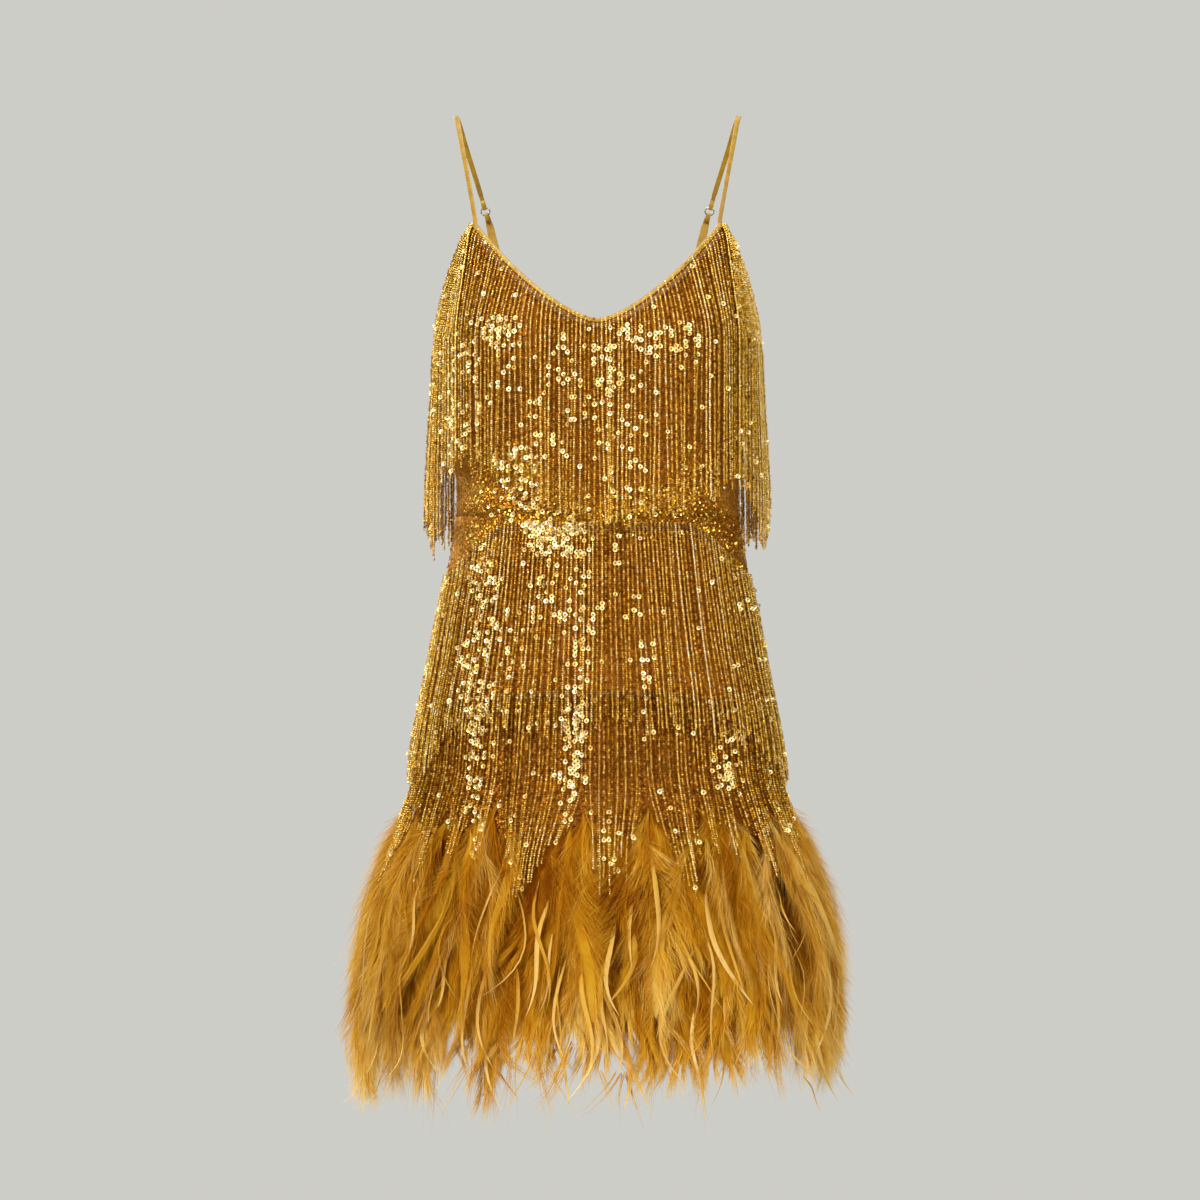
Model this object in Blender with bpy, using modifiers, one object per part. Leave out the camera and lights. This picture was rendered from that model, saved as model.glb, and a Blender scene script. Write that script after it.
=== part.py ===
"""A fringed mini dress with a feather hem, standing hollow as it is worn.

The origin is the middle of the shoulder line, where the straps rest on the wearer.
+Z is up and the dress faces -Y. Sizes are in millimetres until mesh_object() writes metres.
"""

import math
from collections import namedtuple

import bmesh
import bpy
from mathutils import Matrix, Vector

MM = 0.001

# Cloth and seams
WALL = 1.6
SEAM = 0.3
TAPE = 0.7
BINDING_LEG = 2.8
LEG_EASE = 0.35
LEG_LIFT = 0.2
FORM_POWER = 2.3

# Levels, measured down from the shoulder line
STRAP_POINT_Z = -102.0
STRAP_POINT_X = 107.8
STRAP_POINT_WIDTH = 5.2
NECK_Z = -188.0
NECK_CURVE = 1.58
UNDERARM_Z = -195.0
BACK_Z = -212.0
WAIST_SEAM_Z = -352.0
HEM_Z = -690.0

# The extra column beside each side seam, in degrees from it
SEAM_COLUMN = 1.2

# Where the armhole's columns stand, as shares of the way to the side seam
ARM_COLUMNS = (0, 0.11, 0.23, 0.37, 0.53, 0.74, 1)

# Darted cups: how far they stand out, where, and how wide they are
CUP_RISE = 21.0
CUP_X = 70.0
CUP_Z = -209.0
CUP_HALF_WIDTH = 33.0
CUP_HALF_HEIGHT = 38.0

# The hollow form, a row for each level: half width, depth to the front and to the back
Section = namedtuple("Section", "z half_width front back")
SECTIONS = [
    Section(-80, 137.5, 84, 82),
    Section(-150, 139.5, 97, 91),
    Section(-205, 139, 101, 93),
    Section(-270, 131, 94, 84),
    Section(-335, 124, 86, 77),
    Section(-400, 131, 92, 91),
    Section(-450, 141, 98, 107),
    Section(-510, 151.5, 103, 119),
    Section(-575, 158, 108, 123),
    Section(-640, 163, 114, 126),
    Section(-700, 170, 120, 130),
    Section(-890, 182, 134, 142),
]

# Fringe: pieces of tape with strands, as locks of many threads
FRINGE_TAPE = 1.2
FRINGE_TAPE_HEIGHT = 5.0
TAPE_OFF_WALL = 0.8
FRINGE_OFF_BINDING = 0.9
FRINGE_OFF_POINT = 2.2
STRAND_THICK = 2.2
Tier = namedtuple("Tier", "count length fill out steps")
NECK_TIER = Tier(count=36, length=172.0, fill=0.70, out=2.7, steps=3)
ARM_TIER = Tier(count=46, length=173.0, fill=0.68, out=2.7, steps=2)
HIP_TIER = Tier(count=29, length=165.0, fill=0.70, out=3.4, steps=3)
HEM_TIER = Tier(count=24, length=150.0, fill=0.66, out=3.0, steps=4)
BACK_SHORTER = 33.0
CLEAR_OF_HIP_TIER = 5.6

HIP_TAPE_Z = -361.0
HIP_TAPE_DROP = 41.0
HIP_TIER_LIFT = 4.2
HEM_TAPE_Z = -503.0
HEM_TAPE_DROP = 14.0
# Where the lower tier parts over the feathers, in degrees from the middle of its side
FRONT_PARTINGS = (-90, -64, -43, -5, 20, 52, 75, 90)
BACK_PARTINGS = (-90, -72, -47, -20, 8, 36, 66, 90)
HEM_GROUP_LONGER = 26.0
HEM_GATHER = 0.42

# Feathers: how far they stand off the form at each level
Flare = namedtuple("Flare", "z out")
UPPER_FLARE = [
    Flare(-600, 2.6), Flare(-635, 7), Flare(-665, 17), Flare(-700, 29),
    Flare(-746, 38), Flare(-800, 38), Flare(-850, 33),
]
LOWER_FLARE = [
    Flare(-650, 2.6), Flare(-690, 9), Flare(-720, 16), Flare(-760, 24),
    Flare(-810, 28), Flare(-880, 22),
]
HEM_FRINGE_OFF_PLUMES = 5.4
Plumes = namedtuple("Plumes", "z count length spread width flare")
UPPER_PLUMES = Plumes(z=-597.0, count=15, length=200.0, spread=26.0, width=32.0, flare=UPPER_FLARE)
LOWER_PLUMES = Plumes(z=-648.0, count=15, length=200.0, spread=20.0, width=30.0, flare=LOWER_FLARE)
PLUME_TAPE_HEIGHT = 5.0
PLUME_THICK = 3.0
# A feather's outline, as shares of its length, its widest width and its thickness
Vane = namedtuple("Vane", "along width thick")
VANE = [Vane(0.16, 0.62, 0.8), Vane(0.42, 0.95, 1.0), Vane(0.68, 1.0, 1.0),
        Vane(0.87, 0.66, 0.8), Vane(1.0, 0.08, 0.3)]

# Straps
STRAP_THICK = 1.0
STRAP_WIDTH = 5.0
STRAP_WIDTH_AT_RING = 3.8
TAB_WIDTH_TOP = 7.0
TAB_WIDTH_BOTTOM = 10.0
STRAP_TUCK = 9.0
TAB_X = 64.0
RING_RADIUS = 4.0
RING_WIRE = 0.55
LOOP_RADIUS = RING_WIRE + SEAM + STRAP_THICK / 2
LOOP_TAIL = 11.0
RING_CENTRE = Vector((101.7, 79.0, -72.4))
STRAP_DOWN = Vector((-0.24, 0.52, -0.82)).normalized()
# The strap's line over the shoulder, between the front point and the ring
SHOULDER_LINE = [
    Vector((111.6, -48.0, -62.0)), Vector((117.8, -29.0, -30.0)),
    Vector((122.3, -13.0, -6.5)), Vector((124.5, 0.0, STRAP_THICK / 2)),
    Vector((121.9, 14.0, -5.5)), Vector((116.9, 34.0, -22.5)), Vector((109.5, 56.0, -46.0)),
]
# The back strap's line between the ring and the back edge
BACK_LINE = [Vector((92.5, 91.0, -108.0)), Vector((81.0, 91.5, -150.0)), Vector((70.5, 87.5, -184.0))]

GOLD_CLOTH = ("gold_sequin_cloth", (0.60, 0.33, 0.05), 0.42, 0.75)
GOLD_BEADS = ("gold_beads", (0.78, 0.50, 0.12), 0.28, 0.9)
OCHRE_SATIN = ("ochre_satin", (0.74, 0.42, 0.05), 0.45, 0.0)
OCHRE_FEATHER = ("ochre_feather", (0.72, 0.40, 0.05), 0.75, 0.0)
RING_METAL = ("ring_metal", (0.80, 0.66, 0.38), 0.25, 1.0)


def clear_scene():
    for old in list(bpy.data.objects):
        bpy.data.objects.remove(old, do_unlink=True)


def material(name, colour, roughness, metallic):
    made = bpy.data.materials.get(name) or bpy.data.materials.new(name)
    made.use_nodes = True
    shader = made.node_tree.nodes["Principled BSDF"]
    shader.inputs["Base Color"].default_value = (*colour, 1)
    shader.inputs["Roughness"].default_value = roughness
    shader.inputs["Metallic"].default_value = metallic
    return made


def mesh_object(name, bm, finish, smooth=True):
    """Puts the mesh in the dress's collection, in metres. A closed one is turned to face out."""
    if all(edge.is_manifold for edge in bm.edges):
        bmesh.ops.recalc_face_normals(bm, faces=bm.faces)
    mesh = bpy.data.meshes.new(name)
    bm.to_mesh(mesh)
    bm.free()
    mesh.transform(Matrix.Scale(MM, 4))
    if smooth:
        mesh.shade_smooth()
        mesh.set_sharp_from_angle(angle=math.radians(40))
    mesh.materials.append(material(*finish))
    made = bpy.data.objects.new(name, mesh)
    bpy.data.collections["mini_dress"].objects.link(made)
    return made


# Reading the tables

def smooth_between(rows, column, z):
    """A column's value at a level, on a smooth curve through the rows."""
    heights = [row.z for row in rows]
    values = [getattr(row, column) for row in rows]
    z = min(max(z, heights[-1]), heights[0])
    k = next(i for i in range(len(rows) - 1) if z >= heights[i + 1])
    slopes = []
    for i in (k, k + 1):
        low, high = max(i - 1, 0), min(i + 1, len(rows) - 1)
        slopes.append((values[high] - values[low]) / (heights[high] - heights[low]))
    step = heights[k + 1] - heights[k]
    t = (z - heights[k]) / step
    start = (1 + 2 * t) * (1 - t) ** 2 * values[k] + t * (1 - t) ** 2 * step * slopes[0]
    end = t * t * (3 - 2 * t) * values[k + 1] - t * t * (1 - t) * step * slopes[1]
    return start + end


def smooth_step(low, high, x):
    t = min(max((x - low) / (high - low), 0.0), 1.0)
    return t * t * (3 - 2 * t)


# The form that every cloth piece lies on

def radius(angle, z):
    """How far the cloth lies from the upright axis. Angle 0 is the front, 90 the left side."""
    turn = math.radians(angle)
    half_width = smooth_between(SECTIONS, "half_width", z)
    depth = smooth_between(SECTIONS, "front" if math.cos(turn) > 0 else "back", z)
    across = abs(math.sin(turn)) / half_width
    deep = abs(math.cos(turn)) / depth
    plain = (across ** FORM_POWER + deep ** FORM_POWER) ** (-1 / FORM_POWER)
    if math.cos(turn) <= 0:
        return plain
    aside = (plain * abs(math.sin(turn)) - CUP_X) / CUP_HALF_WIDTH
    above = (z - CUP_Z) / CUP_HALF_HEIGHT
    return plain + CUP_RISE * math.exp(-(aside ** 2 + above ** 2) / 2) * math.cos(turn) ** 0.5


def at_angle(angle, distance, z):
    turn = math.radians(angle)
    return Vector((distance * math.sin(turn), -distance * math.cos(turn), z))


def on_form(angle, z, out=0.0):
    """A point on the form at that angle and level, moved out along the surface normal."""
    here = at_angle(angle, radius(angle, z), z)
    if not out:
        return here
    return here + out * form_normal(angle, z)


def form_normal(angle, z):
    turn_step, z_step = 0.5, 0.5
    along = on_form(angle + turn_step, z) - on_form(angle - turn_step, z)
    up = on_form(angle, z + z_step) - on_form(angle, z - z_step)
    return along.cross(up).normalized()


def plan_tangent(angle, z):
    along = on_form(angle + 0.5, z) - on_form(angle - 0.5, z)
    return Vector((along.x, along.y, 0)).normalized()


def angle_of(x, z):
    """The angle, on the front, where the form is x to the side."""
    low, high = 0.0, 90.0
    for _ in range(30):
        middle = (low + high) / 2
        if on_form(middle, z).x < x:
            low = middle
        else:
            high = middle
    return low


def angle_of_back(x, z):
    """The angle off the middle of the back where the form is x to the side."""
    low, high = 0.0, 90.0
    for _ in range(30):
        middle = (low + high) / 2
        if on_form(180 - middle, z).x < x:
            low = middle
        else:
            high = middle
    return low


POINT_ANGLE = angle_of(STRAP_POINT_X, STRAP_POINT_Z)
POINT_HALF = math.degrees(STRAP_POINT_WIDTH / 2 / radius(POINT_ANGLE, STRAP_POINT_Z))


def top_edge(angle):
    """The level of the bodice's top edge: neckline, strap point, armhole, low back."""
    angle = abs((angle + 180) % 360 - 180)
    if angle <= POINT_ANGLE - POINT_HALF:
        z, reach = NECK_Z, on_form(POINT_ANGLE - POINT_HALF, STRAP_POINT_Z).x
        for _ in range(12):
            share = min(on_form(angle, z).x / reach, 1.0)
            z = NECK_Z + (STRAP_POINT_Z - NECK_Z) * share ** NECK_CURVE
        return z
    if angle <= POINT_ANGLE + POINT_HALF:
        return STRAP_POINT_Z
    if angle <= 90:
        share = (angle - POINT_ANGLE - POINT_HALF) / (90 - POINT_ANGLE - POINT_HALF)
        return STRAP_POINT_Z + (UNDERARM_Z - STRAP_POINT_Z) * math.sin(share * math.pi / 2)
    share = (angle - 90) / 90
    return UNDERARM_Z + (BACK_Z - UNDERARM_Z) * (1 - math.cos(share * math.pi)) / 2


def hip_tape_top(angle):
    """The upper skirt tier starts at the waist and drops at the sides, as a yoke does."""
    side = 90 - abs(abs((angle + 180) % 360 - 180) - 90)
    return HIP_TAPE_Z - HIP_TAPE_DROP * smooth_step(46, 84, side)


def hem_tape_top(angle):
    side = 90 - abs(abs((angle + 180) % 360 - 180) - 90)
    return HEM_TAPE_Z - HEM_TAPE_DROP * smooth_step(20, 84, side)


# Builders

def loft(name, sections, finish, smooth=True):
    """A closed solid through sections of the same number of points, with its ends capped."""
    bm = bmesh.new()
    loft_into(bm, sections)
    return mesh_object(name, bm, finish, smooth)


def loft_into(bm, sections):
    rings = [[bm.verts.new(p) for p in section] for section in sections]
    sides = []
    for near, far in zip(rings, rings[1:]):
        count = len(near)
        sides.append([
            bm.faces.new((near[k], near[(k + 1) % count], far[(k + 1) % count], far[k]))
            for k in range(count)
        ])
    bm.faces.new(rings[0])
    bm.faces.new(rings[-1][::-1])
    return sides


def panel(name, angles, top, bottom, rows):
    """An open grid laid on the form, a column for each angle, thickened inwards to a wall."""
    bm = bmesh.new()
    last_column = len(angles) - 1
    bmesh.ops.create_grid(bm, x_segments=last_column, y_segments=rows, size=1)
    for v in bm.verts:
        angle = angles[round((v.co.x + 1) / 2 * last_column)]
        share = round((1 - v.co.y) / 2 * rows) / rows
        v.co = on_form(angle, top(angle) + (bottom(angle) - top(angle)) * share)
    wall = mesh_object(name, bm, GOLD_CLOTH)
    solidify = wall.modifiers.new("wall", "SOLIDIFY")
    solidify.thickness = WALL * MM
    solidify.offset = -1
    solidify.use_even_offset = True


def seam_angle(z):
    """Half of the side seam's gap, as an angle."""
    return math.degrees(SEAM / 2 / radius(90, z))


def evenly(low, high, steps):
    """That many equal steps from low to high, both ends included."""
    return [low + (high - low) * k / steps for k in range(steps + 1)]


def front_angles():
    """Columns of the bodice front: the neckline, the strap point and the armhole."""
    seam = 90 - seam_angle(UNDERARM_Z)
    neck = evenly(0, POINT_ANGLE - POINT_HALF, 7)
    arm_start = POINT_ANGLE + POINT_HALF
    arm = [arm_start + (seam - arm_start) * share for share in ARM_COLUMNS]
    right = neck + arm[:-1] + [seam - SEAM_COLUMN, seam]
    return [-a for a in right[:0:-1]] + right


def between_seams(middle, z, steps):
    """Columns of a half tube about a middle angle, with one close to each side seam.

    The close one keeps the wall's edge square to the form, so the seam is as narrow inside.
    """
    half = 90 - seam_angle(z)
    inner = evenly(middle - half, middle + half, steps)[1:-1]
    return [middle - half, middle - half + SEAM_COLUMN] + inner + [middle + half - SEAM_COLUMN, middle + half]


def waist_above(_):
    return WAIST_SEAM_Z + SEAM / 2


def waist_below(_):
    return WAIST_SEAM_Z - SEAM / 2


def make_walls():
    panel("bodice_front", front_angles(), top_edge, waist_above, 9)
    panel("bodice_back", between_seams(180, UNDERARM_Z, 16), top_edge, waist_above, 5)
    panel("skirt_front", between_seams(0, HEM_Z, 16), waist_below, lambda _: HEM_Z, 8)
    panel("skirt_back", between_seams(180, HEM_Z, 16), waist_below, lambda _: HEM_Z, 8)


def edge_frames(angles):
    """Point, outward normal and the direction down the cloth, along the top edge."""
    points = [on_form(a, top_edge(a)) for a in angles]
    frames = []
    for k, angle in enumerate(angles):
        ahead, behind = points[min(k + 1, len(points) - 1)], points[max(k - 1, 0)]
        normal = form_normal(angle, top_edge(angle))
        along = (ahead - behind).normalized()
        frames.append((points[k], normal, along.cross(normal).normalized()))
    return frames


def binding(name, angles):
    """Bias tape folded over the top edge, clear of the cloth by a seam on each side."""
    near, far = SEAM, SEAM + TAPE
    inside = -WALL - LEG_EASE
    profile = [  # down the cloth, out from its face
        (BINDING_LEG, far + LEG_LIFT), (BINDING_LEG, near + LEG_LIFT), (-near, near), (-near, -WALL - near),
        (BINDING_LEG, inside - near), (BINDING_LEG, inside - far), (-far, -WALL - far), (-far, far),
    ]
    sections = [
        [point + down * d + normal * out for d, out in profile]
        for point, normal, down in edge_frames(angles)
    ]
    loft(name, sections, OCHRE_SATIN, smooth=False)


def make_bindings():
    columns = front_angles()
    neck_end = POINT_ANGLE - POINT_HALF
    neck = [a for a in columns if abs(a) <= neck_end + 0.01]
    binding("neck_binding", neck)
    arm = [a for a in columns if a >= POINT_ANGLE + POINT_HALF - 0.01]
    back = between_seams(180, UNDERARM_Z, 16)
    round_back = arm[:-1] + back + [360 - a for a in arm[-2::-1]]
    binding("arm_binding", round_back)


# Fringe

def edge_slope(angle, level):
    """Rise of a line on the form for each millimetre along, seen from above."""
    here, there = level(angle - 0.5), level(angle + 0.5)
    run = (on_form(angle + 0.5, there) - on_form(angle - 0.5, here)).xy.length
    return (there - here) / run


def spread_angles(low, high, level, count):
    """Angles at even distances along a line, seen from above."""
    fine = evenly(low, high, 200)
    points = [on_form(a, level(a)) for a in fine]
    travelled = [0.0]
    for p, q in zip(points, points[1:]):
        travelled.append(travelled[-1] + (q - p).xy.length)
    found = []
    for wanted in evenly(0, travelled[-1], count):
        k = next(i for i in range(1, len(fine)) if travelled[i] >= wanted - 1e-6)
        share = (wanted - travelled[k - 1]) / (travelled[k] - travelled[k - 1])
        found.append(fine[k - 1] + (fine[k] - fine[k - 1]) * share)
    return found


def hang_radius(angle, top, z):
    """A strand falls straight from the widest level that it has passed."""
    levels = evenly(top, z, max(1, int((top - z) / 6)))
    return max(radius(angle, level) for level in levels)


def strand_section(angle, z, distance, width, thick):
    """Four corners, in the order of the tape's lower face."""
    middle = at_angle(angle, distance, z)
    side = plan_tangent(angle, z)
    out = Vector((side.y, -side.x, 0))
    a, b = side * width / 2, out * thick / 2
    return [middle - a - b, middle + a - b, middle + a + b, middle - a + b]


def tape_with_strands(name, low, high, level, count, tape_height, fill, strand, finish):
    """A tape on the cloth whose lower face is drawn down into strands, each fused at its root.

    strand(index, start angle, end angle, root level) gives the strand's sections, top to bottom.
    """
    bounds = spread_angles(low, high, level, count)
    stations = []
    for a, b in zip(bounds, bounds[1:]):
        margin = (b - a) * (1 - fill) / 2
        stations += [a + margin, b - margin]
    near, far = TAPE_OFF_WALL, TAPE_OFF_WALL + FRINGE_TAPE
    sections = []
    for angle in stations:
        stretch = math.sqrt(1 + edge_slope(angle, level) ** 2)
        top = level(angle)
        low_z = top - tape_height * stretch
        sections.append([
            on_form(angle, top, near), on_form(angle, top, far),
            on_form(angle, low_z, far), on_form(angle, low_z, near),
        ])
    bm = bmesh.new()
    sides = loft_into(bm, sections)
    lower_side = 2
    roots = [sides[k][lower_side] for k in range(0, len(sides), 2)]
    for index, face in enumerate(roots):
        start, end = stations[2 * index], stations[2 * index + 1]
        root_z = sum(v.co.z for v in face.verts) / 4
        order = corner_order(face, plan_tangent((start + end) / 2, root_z))
        for corners in strand(index, start, end, root_z):
            face = bmesh.ops.extrude_discrete_faces(bm, faces=[face])["faces"][0]
            for v, corner in zip(face.verts, order):
                v.co = corners[corner]
    mesh_object(name, bm, finish)


def corner_order(face, side):
    """Which corner of a strand's section each of the face's own corners is."""
    out = Vector((side.y, -side.x, 0))
    by_side = sorted(range(4), key=lambda k: face.verts[k].co.dot(side))
    order = [0] * 4
    for pair, (inner, outer) in ((by_side[:2], (0, 3)), (by_side[2:], (1, 2))):
        near, far = sorted(pair, key=lambda k: face.verts[k].co.dot(out))
        order[near], order[far] = inner, outer
    return order


def unevenness(index, size):
    """A repeatable lengthening that differs from strand to strand."""
    return size * math.sin(index * 2.399 + 0.7) * math.cos(index * 1.113)


def bodice_strand(tier, widest_z):
    def sections(index, start, end, root_z):
        angle = (start + end) / 2
        width = (on_form(end, root_z) - on_form(start, root_z)).xy.length
        off_front = 180 - abs(angle % 360 - 180)
        shorter = BACK_SHORTER * smooth_step(96, 140, off_front)
        tip = root_z - tier.length + shorter - unevenness(index, 7)
        levels = []
        if root_z > widest_z + 12:
            levels = evenly(root_z, widest_z - 6, tier.steps - 1)[1:]
        levels += [root_z - (root_z - tip) * 0.55, tip] if len(levels) == 0 else [tip]
        made = []
        for k, z in enumerate(levels):
            distance = max(hang_radius(angle, root_z, z) + tier.out, radius(angle, z) + CLEAR_OF_HIP_TIER)
            taper = 0.55 if k == len(levels) - 1 else 1.0
            made.append(strand_section(angle, z, distance, width * taper, STRAND_THICK * taper))
        return made
    return sections


def hip_strand(index, start, end, root_z):
    angle = (start + end) / 2
    width = (on_form(end, root_z) - on_form(start, root_z)).xy.length
    tip = root_z - HIP_TIER.length - unevenness(index, 8)
    made = []
    for k, z in enumerate(evenly(root_z, tip, HIP_TIER.steps)[1:]):
        spread = radius(angle, z) / radius(angle, root_z)
        taper = 0.5 if k == HIP_TIER.steps - 1 else 1.0
        distance = radius(angle, z) + HIP_TIER.out + HIP_TIER_LIFT * smooth_step(0, 2, k)
        made.append(strand_section(angle, z, distance, width * spread * taper, STRAND_THICK * taper))
    return made


def hem_strand(partings, side_angle):
    """Strands lean together between the partings, where the feathers push through."""
    def sections(index, start, end, root_z):
        angle = (start + end) / 2
        low, high = around(partings, angle - side_angle)
        centre = (low + high) / 2 + side_angle
        middle = 1 - abs(angle - centre) / ((high - low) / 2)
        width = (on_form(end, root_z) - on_form(start, root_z)).xy.length
        tip = root_z - HEM_TIER.length - HEM_GROUP_LONGER * middle - unevenness(index, 4)
        made = []
        for k, z in enumerate(evenly(root_z, tip, HEM_TIER.steps)[1:]):
            share = (k + 1) / HEM_TIER.steps
            leaning = angle + (centre - angle) * HEM_GATHER * share ** 2
            out = HEM_TIER.out
            if z < UPPER_PLUMES.z + 25:
                out = smooth_between(UPPER_FLARE, "out", z) + HEM_FRINGE_OFF_PLUMES
            distance = radius(leaning, z) + out
            narrowing = 1 - 0.45 * share ** 2
            thick = STRAND_THICK * (0.5 if share == 1 else 1.0)
            made.append(strand_section(leaning, z, distance, width * narrowing, thick))
        return made
    return sections


def around(marks, value):
    """The two neighbouring marks that the value lies between."""
    k = next(i for i in range(len(marks) - 1) if value <= marks[i + 1] or i == len(marks) - 2)
    return marks[k], marks[k + 1]


def plume(row):
    def sections(index, start, end, root_z):
        angle = (start + end) / 2
        length = row.length + unevenness(index, row.spread)
        lean = 1.6 * math.sin(index * 1.9 + row.z)
        made = []
        for vane in VANE:
            z = root_z - length * vane.along
            turned = angle + lean * vane.along ** 2
            distance = radius(turned, z) + smooth_between(row.flare, "out", z)
            made.append(strand_section(turned, z, distance, row.width * vane.width, PLUME_THICK * vane.thick))
        return made
    return sections


def below_binding(angle):
    """The fringe tape starts clear below the binding's leg, also where the edge is steep."""
    stretch = math.sqrt(1 + edge_slope(angle, top_edge) ** 2)
    return top_edge(angle) - (BINDING_LEG + FRINGE_OFF_BINDING) * stretch


def make_fringe():
    inner_end = POINT_ANGLE - POINT_HALF - FRINGE_OFF_POINT
    outer_start = POINT_ANGLE + POINT_HALF + FRINGE_OFF_POINT
    tape_with_strands(
        "neck_fringe", -inner_end, inner_end, below_binding, NECK_TIER.count,
        FRINGE_TAPE_HEIGHT, NECK_TIER.fill, bodice_strand(NECK_TIER, CUP_Z), GOLD_BEADS)
    tape_with_strands(
        "arm_fringe", outer_start, 360 - outer_start, below_binding, ARM_TIER.count,
        FRINGE_TAPE_HEIGHT, ARM_TIER.fill, bodice_strand(ARM_TIER, UNDERARM_Z), GOLD_BEADS)
    for side, turn, partings in (("front", 0, FRONT_PARTINGS), ("back", 180, BACK_PARTINGS)):
        tape_with_strands(
            f"hip_fringe_{side}", turn - 89.7, turn + 89.7, hip_tape_top, HIP_TIER.count,
            FRINGE_TAPE_HEIGHT, HIP_TIER.fill, hip_strand, GOLD_BEADS)
        tape_with_strands(
            f"hem_fringe_{side}", turn - 89.7, turn + 89.7, hem_tape_top, HEM_TIER.count,
            FRINGE_TAPE_HEIGHT, HEM_TIER.fill, hem_strand(partings, turn), GOLD_BEADS)


def make_plumes():
    for level, row in (("upper", UPPER_PLUMES), ("lower", LOWER_PLUMES)):
        for side, turn in (("front", 0), ("back", 180)):
            tape_with_strands(
                f"plume_{level}_{side}", turn - 89.7, turn + 89.7, lambda _, z=row.z: z, row.count,
                PLUME_TAPE_HEIGHT, 0.5, plume(row), OCHRE_FEATHER)


# Straps

def curve_through(points, per_span=2):
    """Points on a smooth curve through the given ones."""
    ends = [2 * points[0] - points[1]] + points + [2 * points[-1] - points[-2]]
    found = []
    for k in range(1, len(ends) - 2):
        p, q, r, s = ends[k - 1:k + 3]
        for step in range(per_span):
            t = step / per_span
            found.append(0.5 * (2 * q + (r - p) * t + (2 * p - 5 * q + 4 * r - s) * t ** 2
                                + (3 * q - p - 3 * r + s) * t ** 3))
    return found + [points[-1]]


def ribbon(name, path, widths, across_start, across_end, turned_by, finish):
    """A flat strip along a path. Its width turns from one direction to another by a share of the way."""
    sections = []
    for k, point in enumerate(path):
        along = (path[min(k + 1, len(path) - 1)] - path[max(k - 1, 0)]).normalized()
        across = across_start.lerp(across_end, smooth_step(0.1, turned_by, k / (len(path) - 1)))
        side = (across - along * across.dot(along)).normalized()
        face = along.cross(side)
        a, b = side * widths[k] / 2, face * STRAP_THICK / 2
        sections.append([point - a - b, point + a - b, point + a + b, point - a + b])
    loft(name, sections, finish)


def ring_loop(down, outward):
    """The strap's turn round the ring's wire, from its outer ply to the end of its tail.

    down runs from the strap towards the ring's middle.
    """
    bend = RING_CENTRE - down * (RING_RADIUS - 0.5)
    half_gap = STRAP_THICK / 2 + SEAM / 2 + 0.05
    turn = [
        bend + outward * LOOP_RADIUS * math.cos(math.radians(step)) + down * LOOP_RADIUS * math.sin(math.radians(step))
        for step in (0, 36, 72, 108, 144, 180)
    ]
    lead = [bend - down * LOOP_TAIL + outward * half_gap, bend - down * 3.2 + outward * LOOP_RADIUS]
    tail = [bend - down * 3.2 - outward * LOOP_RADIUS, bend - down * (LOOP_TAIL - 3) - outward * half_gap]
    return lead + turn + tail


def tucked(angle, z):
    """A point inside the cloth, clear of the binding's inner leg."""
    return on_form(angle, z, -(WALL + LEG_EASE + SEAM + TAPE + SEAM + 0.1 + STRAP_THICK / 2))


def strap_path():
    outward = STRAP_DOWN.cross(strap_side()).normalized()
    if outward.y < 0:
        outward = -outward
    start = [tucked(POINT_ANGLE, STRAP_POINT_Z - STRAP_TUCK), tucked(POINT_ANGLE, STRAP_POINT_Z + 4)]
    loop = ring_loop(STRAP_DOWN, outward)
    over = curve_through([start[1]] + SHOULDER_LINE + [loop[0]])
    return [start[0]] + over + loop[1:], len(loop)


def tab_path():
    outward = STRAP_DOWN.cross(strap_side()).normalized()
    if outward.y < 0:
        outward = -outward
    angle = tab_angle()
    edge = top_edge(angle)
    loop = ring_loop(-STRAP_DOWN, outward)
    down = curve_through([loop[0]] + BACK_LINE + [tucked(angle, edge + 4)])
    return [tucked(angle, edge - STRAP_TUCK)] + down[::-1] + loop[1:], len(loop)


def tab_angle():
    """Where the back strap meets the back's top edge."""
    return 180 - angle_of_back(TAB_X, BACK_Z)


def strap_side():
    """The strap's width direction at the ring."""
    across = Vector((1, 0, 0))
    return (across - STRAP_DOWN * across.dot(STRAP_DOWN)).normalized()


def mirrored(points):
    return [Vector((-p.x, p.y, p.z)) for p in points]


def make_straps():
    path, looped = strap_path()
    plain = len(path) - looped
    strap_widths = [STRAP_WIDTH] * plain + [STRAP_WIDTH_AT_RING] * looped
    tab, tab_looped = tab_path()
    plain_tab = len(tab) - tab_looped
    tab_widths = [
        TAB_WIDTH_BOTTOM + (TAB_WIDTH_TOP - TAB_WIDTH_BOTTOM) * k / (plain_tab - 1) for k in range(plain_tab)
    ]
    tab_widths += [STRAP_WIDTH_AT_RING + 1.2] + [STRAP_WIDTH_AT_RING] * (tab_looped - 1)
    at_ring = strap_side()
    at_point = plan_tangent(POINT_ANGLE, STRAP_POINT_Z)
    at_back = -plan_tangent(tab_angle(), BACK_Z)
    ribbon("strap_left", path, strap_widths, at_point, at_ring, 0.4, OCHRE_SATIN)
    ribbon("tab_left", tab, tab_widths, at_back, at_ring, 0.6, OCHRE_SATIN)
    path, tab, at_ring, at_point, at_back = (
        mirrored(path), mirrored(tab), *mirrored([at_ring, at_point, at_back]))
    ribbon("strap_right", path, strap_widths, at_point, at_ring, 0.4, OCHRE_SATIN)
    ribbon("tab_right", tab, tab_widths, at_back, at_ring, 0.6, OCHRE_SATIN)
    ring("ring_left", 1)
    ring("ring_right", -1)


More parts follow.
